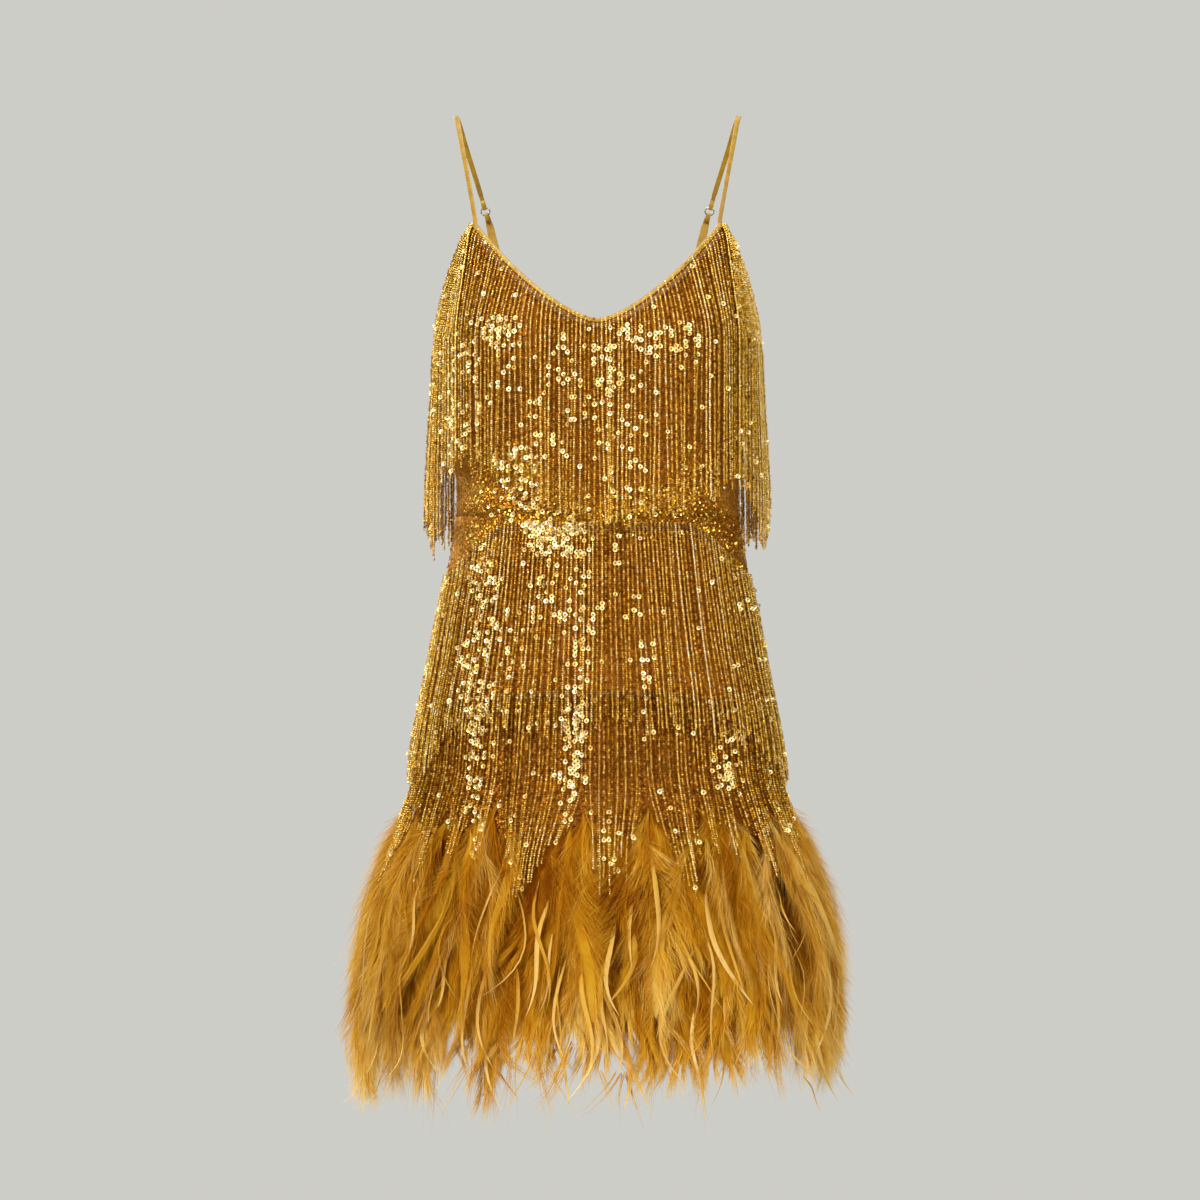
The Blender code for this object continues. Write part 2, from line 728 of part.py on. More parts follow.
def ring(name, sign):
    """A round wire ring whose plane lies along the strap."""
    side, down = strap_side(), STRAP_DOWN
    facing = side.cross(down).normalized()
    facing.x *= sign
    bpy.ops.mesh.primitive_torus_add(
        major_segments=16, minor_segments=6,
        major_radius=RING_RADIUS * MM, minor_radius=RING_WIRE * MM,
        location=Vector((sign * RING_CENTRE.x, RING_CENTRE.y, RING_CENTRE.z)) * MM,
        rotation=facing.to_track_quat("Z", "Y").to_euler())
    made = bpy.context.object
    made.name = name
    made.data.name = name
    made.data.materials.append(material(*RING_METAL))
    made.data.shade_smooth()
    for collection in list(made.users_collection):
        collection.objects.unlink(made)
    bpy.data.collections["mini_dress"].objects.link(made)


def main():
    clear_scene()
    bpy.context.scene.collection.children.link(bpy.data.collections.new("mini_dress"))
    make_walls()
    make_bindings()
    make_fringe()
    make_plumes()
    make_straps()


main()
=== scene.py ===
"""Looks of a fringed gold mini dress with a feather hem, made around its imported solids.

Sizes are in millimetres in the dress's own frame until a mesh is made, which is in metres.
Angles run round the upright axis in degrees: 0 is the front, 90 the wearer's left side.
"""

import math
from collections import namedtuple

import bpy
import numpy as np
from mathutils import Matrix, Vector


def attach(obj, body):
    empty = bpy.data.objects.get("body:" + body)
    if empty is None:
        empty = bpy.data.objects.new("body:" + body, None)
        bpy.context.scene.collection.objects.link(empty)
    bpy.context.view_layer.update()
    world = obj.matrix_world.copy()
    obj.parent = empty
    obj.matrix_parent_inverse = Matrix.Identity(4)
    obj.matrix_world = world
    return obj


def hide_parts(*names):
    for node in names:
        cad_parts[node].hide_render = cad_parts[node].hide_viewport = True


MM = 0.001
SEED = 61


def table(name, columns, *rows):
    """Rows of numbers whose columns have names."""
    kind = namedtuple(name, columns)
    return [kind(*row) for row in rows]


# The form of the cloth, as the solids have it. The wall lies just inside theirs.
WALL = 1.4
WALL_GAP = 0.1
SOLID_WALL = 1.6
SEAM = 0.3
TAPE = 0.7
BINDING_LEG = 2.8
LEG_EASE = 0.35
LEG_LIFT = 0.2
FORM_POWER = 2.3
STRAP_POINT_Z = -102.0
STRAP_POINT_X = 107.8
STRAP_POINT_WIDTH = 5.2
NECK_Z = -188.0
NECK_CURVE = 1.58
UNDERARM_Z = -195.0
BACK_Z = -212.0
WAIST_SEAM_Z = -352.0
HEM_Z = -690.0
CUP_RISE = 21.0
CUP_X = 70.0
CUP_Z = -209.0
CUP_HALF_WIDTH = 33.0
CUP_HALF_HEIGHT = 38.0
SECTIONS = table(
    "Section", "z half_width front back",
    (-80, 137.5, 84, 82), (-150, 139.5, 97, 91), (-205, 139, 101, 93), (-270, 131, 94, 84),
    (-335, 124, 86, 77), (-400, 131, 92, 91), (-450, 141, 98, 107), (-510, 151.5, 103, 119),
    (-575, 158, 108, 123), (-640, 163, 114, 126), (-700, 170, 120, 130), (-890, 182, 134, 142))

# How far the feathers stand off the form at each level, and how much further at the sides
UPPER_FLARE = table(
    "Flare", "z out side",
    (-585, 2.2, 1), (-612, 4.5, 5), (-640, 11, 9), (-665, 17, 9), (-700, 24, 8), (-746, 30, 4),
    (-800, 31, -1), (-850, 28, -5))
LOWER_FLARE = table(
    "Flare", "z out side",
    (-640, 2.6, 5), (-690, 9, 8), (-720, 15, 7), (-760, 22, 4), (-810, 26, 1), (-880, 22, -3))

# Tiers of bead strings
STRING_APART = 3.45
BEAD_APART = 1.9
BEAD_WIDTH = 2.9
BEAD_HEIGHT = 2.6
TIER_TAPE = 0.6
TIER_TAPE_HEIGHT = 4.4
TAPE_OFF_CLOTH = 0.3
HIP_TAPE_Z = -361.0
HIP_TAPE_DROP = 44.0
HEM_TAPE_Z = -503.0
HEM_TAPE_DROP = 14.0

# Strings of the lowest tier lean together in groups. A row is where a group starts, meets and ends.
FRONT_GROUPS = np.array([
    (-90.0, -76, -66), (-66, -60, -56), (-56, -51, -46), (-46, -43, -40), (-40, -27, -6), (-6, 2, 21),
    (21, 32, 39), (39, 42, 46), (46, 49, 52), (52, 60, 65), (65, 73, 80), (80, 86, 90)])
BACK_GROUPS = np.array([
    (-90.0, -82, -72), (-72, -62, -54), (-54, -49, -44), (-44, -31, -14), (-14, -9, -3), (-3, 9, 24),
    (24, 29, 33), (33, 42, 58), (58, 65, 71), (71, 82, 90)])

# Where the strings of the bodice end, by angle from the front
BODICE_TIPS = table(
    "Tip", "angle z",
    (-180, -352), (-150, -350), (-125, -356), (-104, -378), (-97, -366), (-90, -350), (-84, -352),
    (-79, -380), (-74, -384), (-69, -318), (-60, -309), (-50, -308), (-38, -318), (-28, -338),
    (-15, -352), (0, -362), (20, -356), (40, -340), (55, -322), (66, -330), (73, -372), (80, -378),
    (88, -352), (97, -362), (106, -374), (125, -354), (150, -348), (180, -352))

# Ring sequins gather in patches on the front: their middles, half sizes and share of the beads
RING_PATCHES = table(
    "Patch", "x z wide high share",
    (-82, -199, 17, 15, 0.30), (56, -207, 28, 14, 0.24), (10, -203, 14, 10, 0.08),
    (8, -232, 12, 24, 0.10), (-67, -330, 18, 30, 0.22), (-47, -368, 15, 16, 0.26),
    (-22, -371, 13, 18, 0.20), (-36, -410, 26, 46, 0.11), (-97, -425, 14, 48, 0.15),
    (-99, -500, 12, 34, 0.13), (15, -385, 5, 16, 0.18), (33, -430, 5, 14, 0.16),
    (41, -485, 5, 22, 0.16), (-14, -455, 9, 50, 0.13), (-101, -560, 9, 48, 0.20),
    (-21, -552, 10, 44, 0.20), (110, -564, 14, 24, 0.14), (-50, -250, 38, 44, 0.05),
    (12, -275, 28, 58, 0.07), (-112, -250, 14, 60, 0.09), (-104, -610, 6, 42, 0.12),
    (-22, -630, 6, 42, 0.18), (12, -640, 6, 52, 0.08), (-60, -480, 62, 54, 0.03))
RING_SHARE = 0.008


# Small mathematics

def rows_column(rows, column):
    return np.array([getattr(row, column) for row in rows], float)


def smooth_between(rows, column, z):
    """A column's values at some levels, on a smooth curve through the rows."""
    heights, values = rows_column(rows, "z"), rows_column(rows, column)
    last = len(rows) - 1
    low, high = np.maximum(np.arange(last + 1) - 1, 0), np.minimum(np.arange(last + 1) + 1, last)
    slopes = (values[high] - values[low]) / (heights[high] - heights[low])
    z = np.clip(z, heights[-1], heights[0])
    k = np.clip(np.searchsorted(-heights, -z, side="right") - 1, 0, last - 1)
    step = heights[k + 1] - heights[k]
    t = (z - heights[k]) / step
    start = (1 + 2 * t) * (1 - t) ** 2 * values[k] + t * (1 - t) ** 2 * step * slopes[k]
    end = t * t * (3 - 2 * t) * values[k + 1] - t * t * (1 - t) * step * slopes[k + 1]
    return start + end


def smooth_step(low, high, x):
    t = np.clip((x - low) / (high - low), 0.0, 1.0)
    return t * t * (3 - 2 * t)


def unit(v):
    return v / np.maximum(np.linalg.norm(v, axis=-1, keepdims=True), 1e-9)


def wrapped(angle):
    """The same angle between -180 and 180."""
    return (np.asarray(angle, float) + 180) % 360 - 180


def off_sides(angle):
    """Degrees from the front or the back, up to 90 at the sides."""
    return 90 - np.abs(np.abs(wrapped(angle)) - 90)


def wave(x, seed):
    """A smooth wandering value of about -1 to 1 along x."""
    phases = np.random.default_rng(seed).uniform(0, 2 * math.pi, 4)
    return (np.sin(x + phases[0]) + 0.7 * np.sin(1.83 * x + phases[1])
            + 0.5 * np.sin(3.1 * x + phases[2]) + 0.35 * np.sin(5.3 * x + phases[3])) / 1.6


def tones(random, middle, spread, count):
    return np.clip(random.normal(middle, spread, count), 0, 1)


def travelled_along(points):
    """How far each point of a line is from its start, along the line."""
    return np.concatenate([[0], np.cumsum(np.linalg.norm(np.diff(points, axis=0), axis=1))])


# The form that everything lies on

def radius(angle, z):
    """How far the cloth lies from the upright axis."""
    turn = np.radians(angle)
    cosine = np.cos(turn)
    columns = ("half_width", "front", "back")
    half_width, front, back = (smooth_between(SECTIONS, column, z) for column in columns)
    depth = np.where(cosine > 0, front, back)
    across, deep = np.abs(np.sin(turn)) / half_width, np.abs(cosine) / depth
    plain = (across ** FORM_POWER + deep ** FORM_POWER) ** (-1 / FORM_POWER)
    aside = (plain * np.abs(np.sin(turn)) - CUP_X) / CUP_HALF_WIDTH
    above = (z - CUP_Z) / CUP_HALF_HEIGHT
    rise = CUP_RISE * np.exp(-(aside ** 2 + above ** 2) / 2) * np.sqrt(np.maximum(cosine, 0))
    return plain + rise


def at_angle(angle, distance, z):
    turn = np.radians(angle)
    angle, distance, z = np.broadcast_arrays(angle, distance, z)
    return np.stack([distance * np.sin(turn), -distance * np.cos(turn), z + 0.0], axis=-1)


def off_form(angle, z, out=0.0):
    """Points past the form, straight out from the upright axis."""
    return at_angle(angle, radius(angle, z) + out, z)


def round_form(angle, z):
    """A step round the form at one level."""
    return off_form(angle + 0.5, z) - off_form(angle - 0.5, z)


def form_normal(angle, z):
    up = off_form(angle, z + 0.5) - off_form(angle, z - 0.5)
    return unit(np.cross(round_form(angle, z), up))


def on_form(angle, z, out=0.0):
    """Points on the form, moved out along its normal."""
    return off_form(angle, z) + np.asarray(out, float)[..., None] * form_normal(angle, z)


def angle_where(x, z, behind=False):
    """The angle where the form is x to the side."""
    fine = np.linspace(180 if behind else 0, 90, 2000)
    return float(np.interp(x, radius(fine, z) * np.sin(np.radians(fine)), fine))


POINT_ANGLE = angle_where(STRAP_POINT_X, STRAP_POINT_Z)
POINT_HALF = math.degrees(STRAP_POINT_WIDTH / 2 / float(radius(POINT_ANGLE, STRAP_POINT_Z)))
NECK_END = POINT_ANGLE - POINT_HALF
ARM_START = POINT_ANGLE + POINT_HALF


def top_edge(angle):
    """The level of the bodice's top edge: neckline, strap point, armhole, low back."""
    off = np.abs(wrapped(angle))
    reach = float(radius(NECK_END, STRAP_POINT_Z)) * math.sin(math.radians(NECK_END))
    neck = np.full(off.shape, NECK_Z)
    for _ in range(12):
        share = np.minimum(radius(off, neck) * np.sin(np.radians(off)) / reach, 1.0)
        neck = NECK_Z + (STRAP_POINT_Z - NECK_Z) * np.abs(share) ** NECK_CURVE
    arm_share = np.clip((off - ARM_START) / (90 - ARM_START), 0, 1)
    arm = STRAP_POINT_Z + (UNDERARM_Z - STRAP_POINT_Z) * np.sin(arm_share * math.pi / 2)
    back = UNDERARM_Z + (BACK_Z - UNDERARM_Z) * (1 - np.cos((off - 90) / 90 * math.pi)) / 2
    flat = np.full(off.shape, STRAP_POINT_Z)
    return np.select([off <= NECK_END, off <= ARM_START, off <= 90], [neck, flat, arm], back)


def level(z):
    return lambda angle: np.full(np.shape(angle), z)


def bodice_tips(angle):
    return np.interp(wrapped(angle), rows_column(BODICE_TIPS, "angle"), rows_column(BODICE_TIPS, "z"))


def hip_tape_top(angle):
    return HIP_TAPE_Z - HIP_TAPE_DROP * smooth_step(44, 80, off_sides(angle))


def hem_tape_top(angle):
    return HEM_TAPE_Z - HEM_TAPE_DROP * smooth_step(20, 84, off_sides(angle))


def flare_out(flare, angle, z):
    """How far feathers stand off the form."""
    aside = smooth_step(50, 90, off_sides(angle))
    return smooth_between(flare, "out", z) + aside * smooth_between(flare, "side", z)


def edge_stretch(angle, line):
    """How much longer a line on the form is than it looks from above."""
    here, there = line(angle - 0.5), line(angle + 0.5)
    a, b = on_form(angle - 0.5, here), on_form(angle + 0.5, there)
    run = np.linalg.norm((b - a)[..., :2], axis=-1)
    return np.sqrt(1 + ((there - here) / run) ** 2)


def below_binding(angle):
    return top_edge(angle) - (BINDING_LEG + 0.7) * edge_stretch(angle, top_edge)


def spread_angles(low, high, line, apart):
    """Angles at even distances along a line, seen from above."""
    fine = np.linspace(low, high, 3000)
    travelled = travelled_along(on_form(fine, line(fine))[:, :2])
    count = max(2, round(travelled[-1] / apart))
    return np.interp((np.arange(count) + 0.5) / count * travelled[-1], travelled, fine)


# Meshes

class Pile:
    """Gathers copies of small things into the arrays of one mesh."""

    def __init__(self):
        self.points = []
        self.tones = []
        self.grains = []
        self.faces = {}
        self.count = 0

    def add(self, points, faces, tone, slot=0, grain=0.0):
        """points has the points of each copy in turn. faces lists the point numbers of one copy's faces.

        tone and grain are one number, one for each copy, or one for each point of each copy.
        """
        points = points.reshape(len(points), -1, 3)
        copies, each = points.shape[:2]
        for store, value in ((self.tones, tone), (self.grains, grain)):
            if np.ndim(value):
                value = np.reshape(value, (copies, -1))
            store.append(np.broadcast_to(value, (copies, each)).reshape(-1))
        first = self.count + np.arange(copies)[:, None, None] * each
        for size in {len(face) for face in faces}:
            chosen = np.array([face for face in faces if len(face) == size])
            whole = (first + chosen[None]).reshape(-1, size)
            self.faces.setdefault((size, slot), []).append(whole)
        self.points.append(points.reshape(-1, 3))
        self.count += copies * each

    def make(self, name, materials, flat_slots=()):
        mesh = bpy.data.meshes.new(name)
        points = np.concatenate(self.points) * MM
        mesh.vertices.add(len(points))
        mesh.vertices.foreach_set("co", points.astype(np.float32).ravel())
        corners, starts, slots, travelled = [], [], [], 0
        for (size, slot), groups in sorted(self.faces.items()):
            whole = np.concatenate(groups)
            corners.append(whole.ravel())
            starts.append(travelled + np.arange(len(whole)) * size)
            slots.append(np.full(len(whole), slot))
            travelled += whole.size
        corners, starts, slots = (
            np.concatenate(found).astype(np.int32) for found in (corners, starts, slots))
        mesh.loops.add(travelled)
        mesh.loops.foreach_set("vertex_index", corners)
        mesh.polygons.add(len(starts))
        mesh.polygons.foreach_set("loop_start", starts)
        mesh.polygons.foreach_set("material_index", slots)
        mesh.update(calc_edges=True)
        for channel, values in (("tone", self.tones), ("grain", self.grains)):
            stored = mesh.attributes.new(channel, "FLOAT", "POINT")
            stored.data.foreach_set("value", np.concatenate(values).astype(np.float32))
        mesh.polygons.foreach_set("use_smooth", ~np.isin(slots, flat_slots))
        for material in materials:
            mesh.materials.append(material)
        mesh.validate()
        made = bpy.data.objects.new(name, mesh)
        bpy.context.scene.collection.objects.link(made)
        return made


def strip_faces(steps, around=2, closed=False, capped=False):
    """Faces of a loft whose sections have some points each, in order."""
    faces = []
    for k in range(steps - 1):
        for j in range(around if closed else around - 1):
            a, b = k * around + j, k * around + (j + 1) % around
            faces.append((a, b, b + around, a + around))
    if capped:
        faces.append(tuple(range(around))[::-1])
        faces.append(tuple((steps - 1) * around + j for j in range(around)))
    return faces


def add_bar(pile, points, tone=0.5, slot=0):
    """A closed bar through sections of some points each."""
    pile.add(points[None], strip_faces(*points.shape[:2], closed=True, capped=True), tone, slot)


# Materials

class Paint:
    """A material's nodes, with short ways to add them."""

    def __init__(self, name):
        self.material = bpy.data.materials.new(name)
        self.material.use_nodes = True
        self.tree = self.material.node_tree
        self.shader = self.tree.nodes["Principled BSDF"]

    def fill(self, socket, value):
        if isinstance(value, bpy.types.NodeSocket):
            self.tree.links.new(value, socket)
        else:
            socket.default_value = value

    def node(self, kind, inputs=None, **settings):
        made = self.tree.nodes.new(kind)
        for name, value in settings.items():
            setattr(made, name, value)
        for name, value in (inputs or {}).items():
            self.fill(made.inputs[name], value)
        return made

    def put(self, **values):
        """Sets the shader's sockets. An underscore stands for a space."""
        for name, value in values.items():
            self.fill(self.shader.inputs[name.replace("_", " ")], value)

    def place(self, scale=(1, 1, 1)):
        """The object's own coordinates, which are the dress's."""
        spot = self.node("ShaderNodeTexCoord").outputs["Object"]
        return self.node("ShaderNodeMapping", {"Vector": spot, "Scale": scale}).outputs["Vector"]

    def stored(self, channel="tone"):
        return self.node("ShaderNodeAttribute", attribute_name=channel).outputs["Fac"]

    def noise(self, scale, detail=3.0, vector=None):
        inputs = {"Vector": vector or self.place(), "Scale": scale, "Detail": detail}
        return self.node("ShaderNodeTexNoise", inputs).outputs["Fac"]

    def math(self, operation, a, b):
        return self.node("ShaderNodeMath", {0: a, 1: b}, operation=operation).outputs["Value"]

    def vectors(self, operation, *inputs):
        made = self.node("ShaderNodeVectorMath", dict(enumerate(inputs)), operation=operation)
        return made.outputs["Vector"]

    def ramp(self, value, *stops):
        made = self.node("ShaderNodeValToRGB", {"Fac": value})
        elements = made.color_ramp.elements
        while len(elements) < len(stops):
            elements.new(0.5)
        for element, (position, colour) in zip(elements, stops):
            element.position = position
            element.color = (*colour, 1)
        return made.outputs["Color"]

    def bump(self, height, distance, strength=1.0):
        made = self.node("ShaderNodeBump", {"Height": height, "Distance": distance, "Strength": strength})
        self.put(Normal=made.outputs["Normal"])


def glitter_cloth():
    """Knit ground with fused glitter, each fleck at its own tilt. Painted shade darkens it under strings."""
    paint = Paint("gold_sequin_cloth")
    flecks = paint.node("ShaderNodeTexVoronoi", {"Vector": paint.place(), "Scale": 950.0}).outputs["Color"]
    patches = paint.math("ADD", paint.noise(42.0, 4.0), 0.32)
    bright = paint.math(
        "MULTIPLY", paint.node("ShaderNodeSeparateColor", {"Color": flecks}).outputs["Red"], patches)
    # The stored tone carries painted shade: the cloth is darker under the strings and sequins.
    bare = paint.math("ADD", paint.math("MULTIPLY", paint.stored(), 0.66), 0.34)
    colour = paint.ramp(
        paint.math("MULTIPLY", bright, bare), (0.03, (0.12, 0.031, 0.002)), (0.24, (0.31, 0.105, 0.006)),
        (0.5, (0.46, 0.20, 0.014)), (0.85, (0.76, 0.49, 0.12)))
    normal = paint.node("ShaderNodeNewGeometry").outputs["Normal"]
    tilted = paint.vectors("ADD", paint.vectors("SUBTRACT", flecks, (0.5, 0.5, 0.5)), normal)
    paint.put(Base_Color=colour, Metallic=0.75, Roughness=0.42, Specular_Tint=(1.0, 0.70, 0.28, 1),
              Normal=paint.vectors("NORMALIZE", tilted))
    return paint.material


def bead_gold():
    """Gold-lined glass beads, from brown to pale gold."""
    paint = Paint("gold_beads")
    colour = paint.ramp(
        paint.stored(), (0.0, (0.15, 0.042, 0.002)), (0.25, (0.42, 0.18, 0.010)), (0.5, (0.76, 0.45, 0.048)),
        (0.78, (0.90, 0.66, 0.19)), (1.0, (0.96, 0.84, 0.50)))
    rough = paint.node(
        "ShaderNodeMapRange", {"Value": paint.noise(2500.0, 1.0), "To Min": 0.22, "To Max": 0.40})
    paint.put(Base_Color=colour, Metallic=0.9, Roughness=rough.outputs["Result"], Coat_Weight=0.06,
              Specular_Tint=(1.0, 0.74, 0.34, 1))
    return paint.material


def sequin_gold():
    """Foil sequins, with faint press marks as bump."""
    paint = Paint("sequin_gold")
    colour = paint.ramp(
        paint.stored(), (0.0, (0.30, 0.11, 0.008)), (0.4, (0.66, 0.39, 0.06)), (0.75, (0.84, 0.63, 0.25)),
        (1.0, (0.90, 0.74, 0.42)))
    paint.put(Base_Color=colour, Metallic=0.6, Roughness=0.37)
    paint.bump(paint.noise(1600.0, 2.0), 0.0002, 0.5)
    return paint.material


def woven(name, threads, uneven, bands, patches, dark, pale, relief, **surface):
    """Cloth with fine threads in one direction and a slightly patchy dye."""
    paint = Paint(name)
    inputs = {"Vector": paint.place(), "Scale": threads, "Distortion": uneven}
    weave = paint.node("ShaderNodeTexWave", inputs, bands_direction=bands)
    paint.put(Base_Color=paint.ramp(paint.noise(patches, 4.0), (0.3, dark), (0.7, pale)), **surface)
    paint.bump(weave.outputs["Fac"], 0.00012, relief)
    return paint.material


def tape_cloth():
    """The tape that the strings hang from."""
    return woven("brown_tape", 700.0, 1.0, "Z", 300.0, (0.10, 0.030, 0.003), (0.24, 0.085, 0.008), 0.5,
                 Roughness=0.7, Sheen_Weight=0.1)


def satin():
    return woven("ochre_satin", 900.0, 1.5, "DIAGONAL", 160.0, (0.245, 0.126, 0.003),
                 (0.34, 0.198, 0.008), 0.6, Roughness=0.42, Sheen_Weight=0.06, Sheen_Roughness=0.4,
                 Anisotropic=0.5, Sheen_Tint=(1.0, 0.8, 0.4, 1))


def feather(name, rough, through, *stops):
    """Dyed feather, streaked along its barbs. Some light passes through, so the thin ends glow."""
    paint = Paint(name)
    fibres = paint.node("ShaderNodeTexNoise", {"W": paint.stored("grain"), "Scale": 1.15, "Detail": 3.0},
                        noise_dimensions="1D").outputs["Fac"]
    streak = paint.math("MULTIPLY", paint.math("SUBTRACT", fibres, 0.5), 0.26)
    mottle = paint.math("MULTIPLY", paint.math("SUBTRACT", paint.noise(70.0), 0.5), 0.22)
    tone = paint.math("ADD", paint.math("ADD", paint.stored(), streak), mottle)
    colour = paint.ramp(tone, *stops)
    paint.put(Base_Color=colour, Roughness=rough, Sheen_Weight=0.04, Sheen_Roughness=0.5,
              Sheen_Tint=(1.0, 0.75, 0.3, 1), Specular_IOR_Level=0.05)
    paint.bump(fibres, 0.0004, 0.5)
    glow = paint.node("ShaderNodeBsdfTranslucent", {"Color": colour}).outputs["BSDF"]
    mixed = paint.node("ShaderNodeMixShader", {0: through, 1: paint.shader.outputs["BSDF"], 2: glow})
    paint.fill(paint.tree.nodes["Material Output"].inputs["Surface"], mixed.outputs["Shader"])
    return paint.material


def ring_metal():
    paint = Paint("ring_metal")
    colour = paint.ramp(paint.noise(900.0, 5.0), (0.35, (0.36, 0.27, 0.14)), (0.65, (0.54, 0.43, 0.26)))
    paint.put(Base_Color=colour, Metallic=1.0, Roughness=0.2)
    paint.bump(paint.noise(700.0, 4.0, paint.place((1, 6, 1))), 0.00005, 0.4)
    return paint.material


# Camera, light and floor, in metres

CAMERA_BACK = 2.493
CAMERA_Z = -0.425
LIT_MIDDLE = Vector((0, 0, -0.45))
FLOOR_Z = -1.40
FLOOR_RADIUS = 2.0
WHITE = (1, 1, 1)
LIGHTS = table(
    "Light", "name place size watts colour",
    ("key", (-1.3, -2.3, 0.9), (1.1, 1.1), 118, (1.0, 0.985, 0.96)),
    ("fill", (1.9, -1.9, -0.5), (1.4, 1.8), 50, WHITE),
    ("back", (-1.2, 2.4, 0.8), (1.6, 1.6), 60, WHITE),
    ("top", (0.2, 0.1, 1.9), (1.6, 1.6), 40, WHITE))
SEEN_BACKGROUND = (0.612, 0.609, 0.576, 1)
AMBIENT = (1.0, 0.98, 0.95, 1)
AMBIENT_STRENGTH = 0.42


def place_camera():
    camera = bpy.data.cameras.new("camera")
    camera.lens = 85.0
    camera.sensor_width = 36.0
    camera.shift_x = 0.0021
    camera.clip_end = 20.0
    made = bpy.data.objects.new("camera", camera)
    made.location = (0, -CAMERA_BACK, CAMERA_Z)
    made.rotation_euler = (math.radians(90), 0, 0)
    bpy.context.scene.collection.objects.link(made)
    bpy.context.scene.camera = made


def light_scene():
    for lamp in LIGHTS:
        light = bpy.data.lights.new(lamp.name, "AREA")
        light.shape = "RECTANGLE"
        light.size, light.size_y = lamp.size
        light.energy = lamp.watts
        light.color = lamp.colour
        made = bpy.data.objects.new(lamp.name, light)
        made.location = lamp.place
        made.rotation_euler = (LIT_MIDDLE - Vector(lamp.place)).to_track_quat("-Z", "Y").to_euler()
        bpy.context.scene.collection.objects.link(made)
    world = bpy.data.worlds.new("studio")
    bpy.context.scene.world = world
    world.use_nodes = True
    nodes, links = world.node_tree.nodes, world.node_tree.links
    seen = nodes["Background"]
    seen.inputs["Color"].default_value = SEEN_BACKGROUND
    ambient = nodes.new("ShaderNodeBackground")
    ambient.inputs["Color"].default_value = AMBIENT
    ambient.inputs["Strength"].default_value = AMBIENT_STRENGTH
    path = nodes.new("ShaderNodeLightPath")
    mixed = nodes.new("ShaderNodeMixShader")
    for k, output in enumerate((path.outputs["Is Camera Ray"], ambient.outputs[0], seen.outputs[0])):
        links.new(output, mixed.inputs[k])
    links.new(mixed.outputs[0], nodes["World Output"].inputs["Surface"])
    bpy.context.scene.view_settings.view_transform = "Standard"


def make_floor():
    """A round pale floor that fades out at its rim."""
    paint = Paint("floor")
    spot = paint.node("ShaderNodeTexCoord").outputs["Object"]
    far = paint.node("ShaderNodeVectorMath", {0: spot}, operation="LENGTH").outputs["Value"]
    fade = paint.node("ShaderNodeMapRange", {"Value": far, "From Min": 0.9, "From Max": 1.95,
                                             "To Min": 1.0, "To Max": 0.0}, interpolation_type="SMOOTHSTEP")
    paint.put(Base_Color=(0.36, 0.357, 0.34, 1), Roughness=0.8, Alpha=fade.outputs["Result"])
    bpy.ops.mesh.primitive_circle_add(
        vertices=128, radius=FLOOR_RADIUS, fill_type="NGON", location=(0, 0, FLOOR_Z))
    floor = bpy.context.object
    floor.name = "floor"
    floor.data.materials.append(paint.material)


# Cloth

# Soft troughs in the cloth: middle angle and level, half sizes along and across, tilt, depth
CREASES = table(
    "Crease", "angle z along across tilt depth",
    (-78, -318, 20, 5, 0.25, 1.3), (-72, -333, 26, 6, 0.10, 1.6), (-80, -350, 18, 5, -0.12, 1.2),
    (-66, -372, 15, 5, -0.3, 0.9), (76, -322, 18, 5, -0.22, 1.2), (81, -341, 24, 6, -0.06, 1.5),
    (70, -360, 16, 5, 0.2, 1.0), (104, -328, 20, 6, 0.2, 1.4), (112, -347, 26, 6, 0.05, 1.6),
    (-106, -335, 24, 6, -0.12, 1.5), (-114, -356, 17, 5, 0.15, 1.1), (160, -330, 22, 6, 0.1, 1.2),
    (-165, -343, 26, 6, -0.08, 1.4), (178, -362, 20, 6, 0.02, 1.0))
RIDGE_SHARE = 0.35

# Bare stretches of the waist, where only the glitter cloth shows
BARE_PLACES = table(
    "Bare", "angle z wide high",
    (-73, -346, 20, 52), (-64, -384, 18, 26), (72, -334, 9, 24), (108, -345, 20, 40), (-112, -340, 18, 40))
INSIDE_TONE = 0.35
PANEL_COLUMNS = 72


def crease_depth(angle, z):
    """How far the cloth is pressed in, with a low ridge on each side of every trough."""
    total = np.zeros(np.broadcast(angle, z).shape)
    for crease in CREASES:
        along = wrapped(angle - crease.angle)
        across = (z - crease.z - crease.tilt * along) / crease.across
        shape = np.exp(-(along / crease.along) ** 2)
        total += crease.depth * shape * (np.exp(-across ** 2) - RIDGE_SHARE * np.exp(-(across / 2) ** 2))
    return total


def sewn_share(angle, z):
    """The share of the waist's small sequins that are there: few in the bare stretches."""
    share = np.ones(np.shape(angle))
    for bare in BARE_PLACES:
        near = (wrapped(angle - bare.angle) / bare.wide) ** 2 + ((z - bare.z) / bare.high) ** 2
        share *= 1 - np.exp(-near ** 2 * 0.9)
    return share


def waist_shown(angle, z):
    """1 where the waist is seen between the bodice's strings and the hip tier, 0 well under them."""
    return smooth_step(34, 6, z - bodice_tips(angle)) * smooth_step(-16, -4, z - hip_tape_top(angle))


def painted_light_share(angle, z):
    """Painted light on the cloth: bright in the bare stretches, painted shade under sequins and strings."""
    sewn = sewn_share(angle, z)
    return np.clip(0.25 * waist_shown(angle, z) * sewn + 0.9 * (1 - sewn), 0, 1)


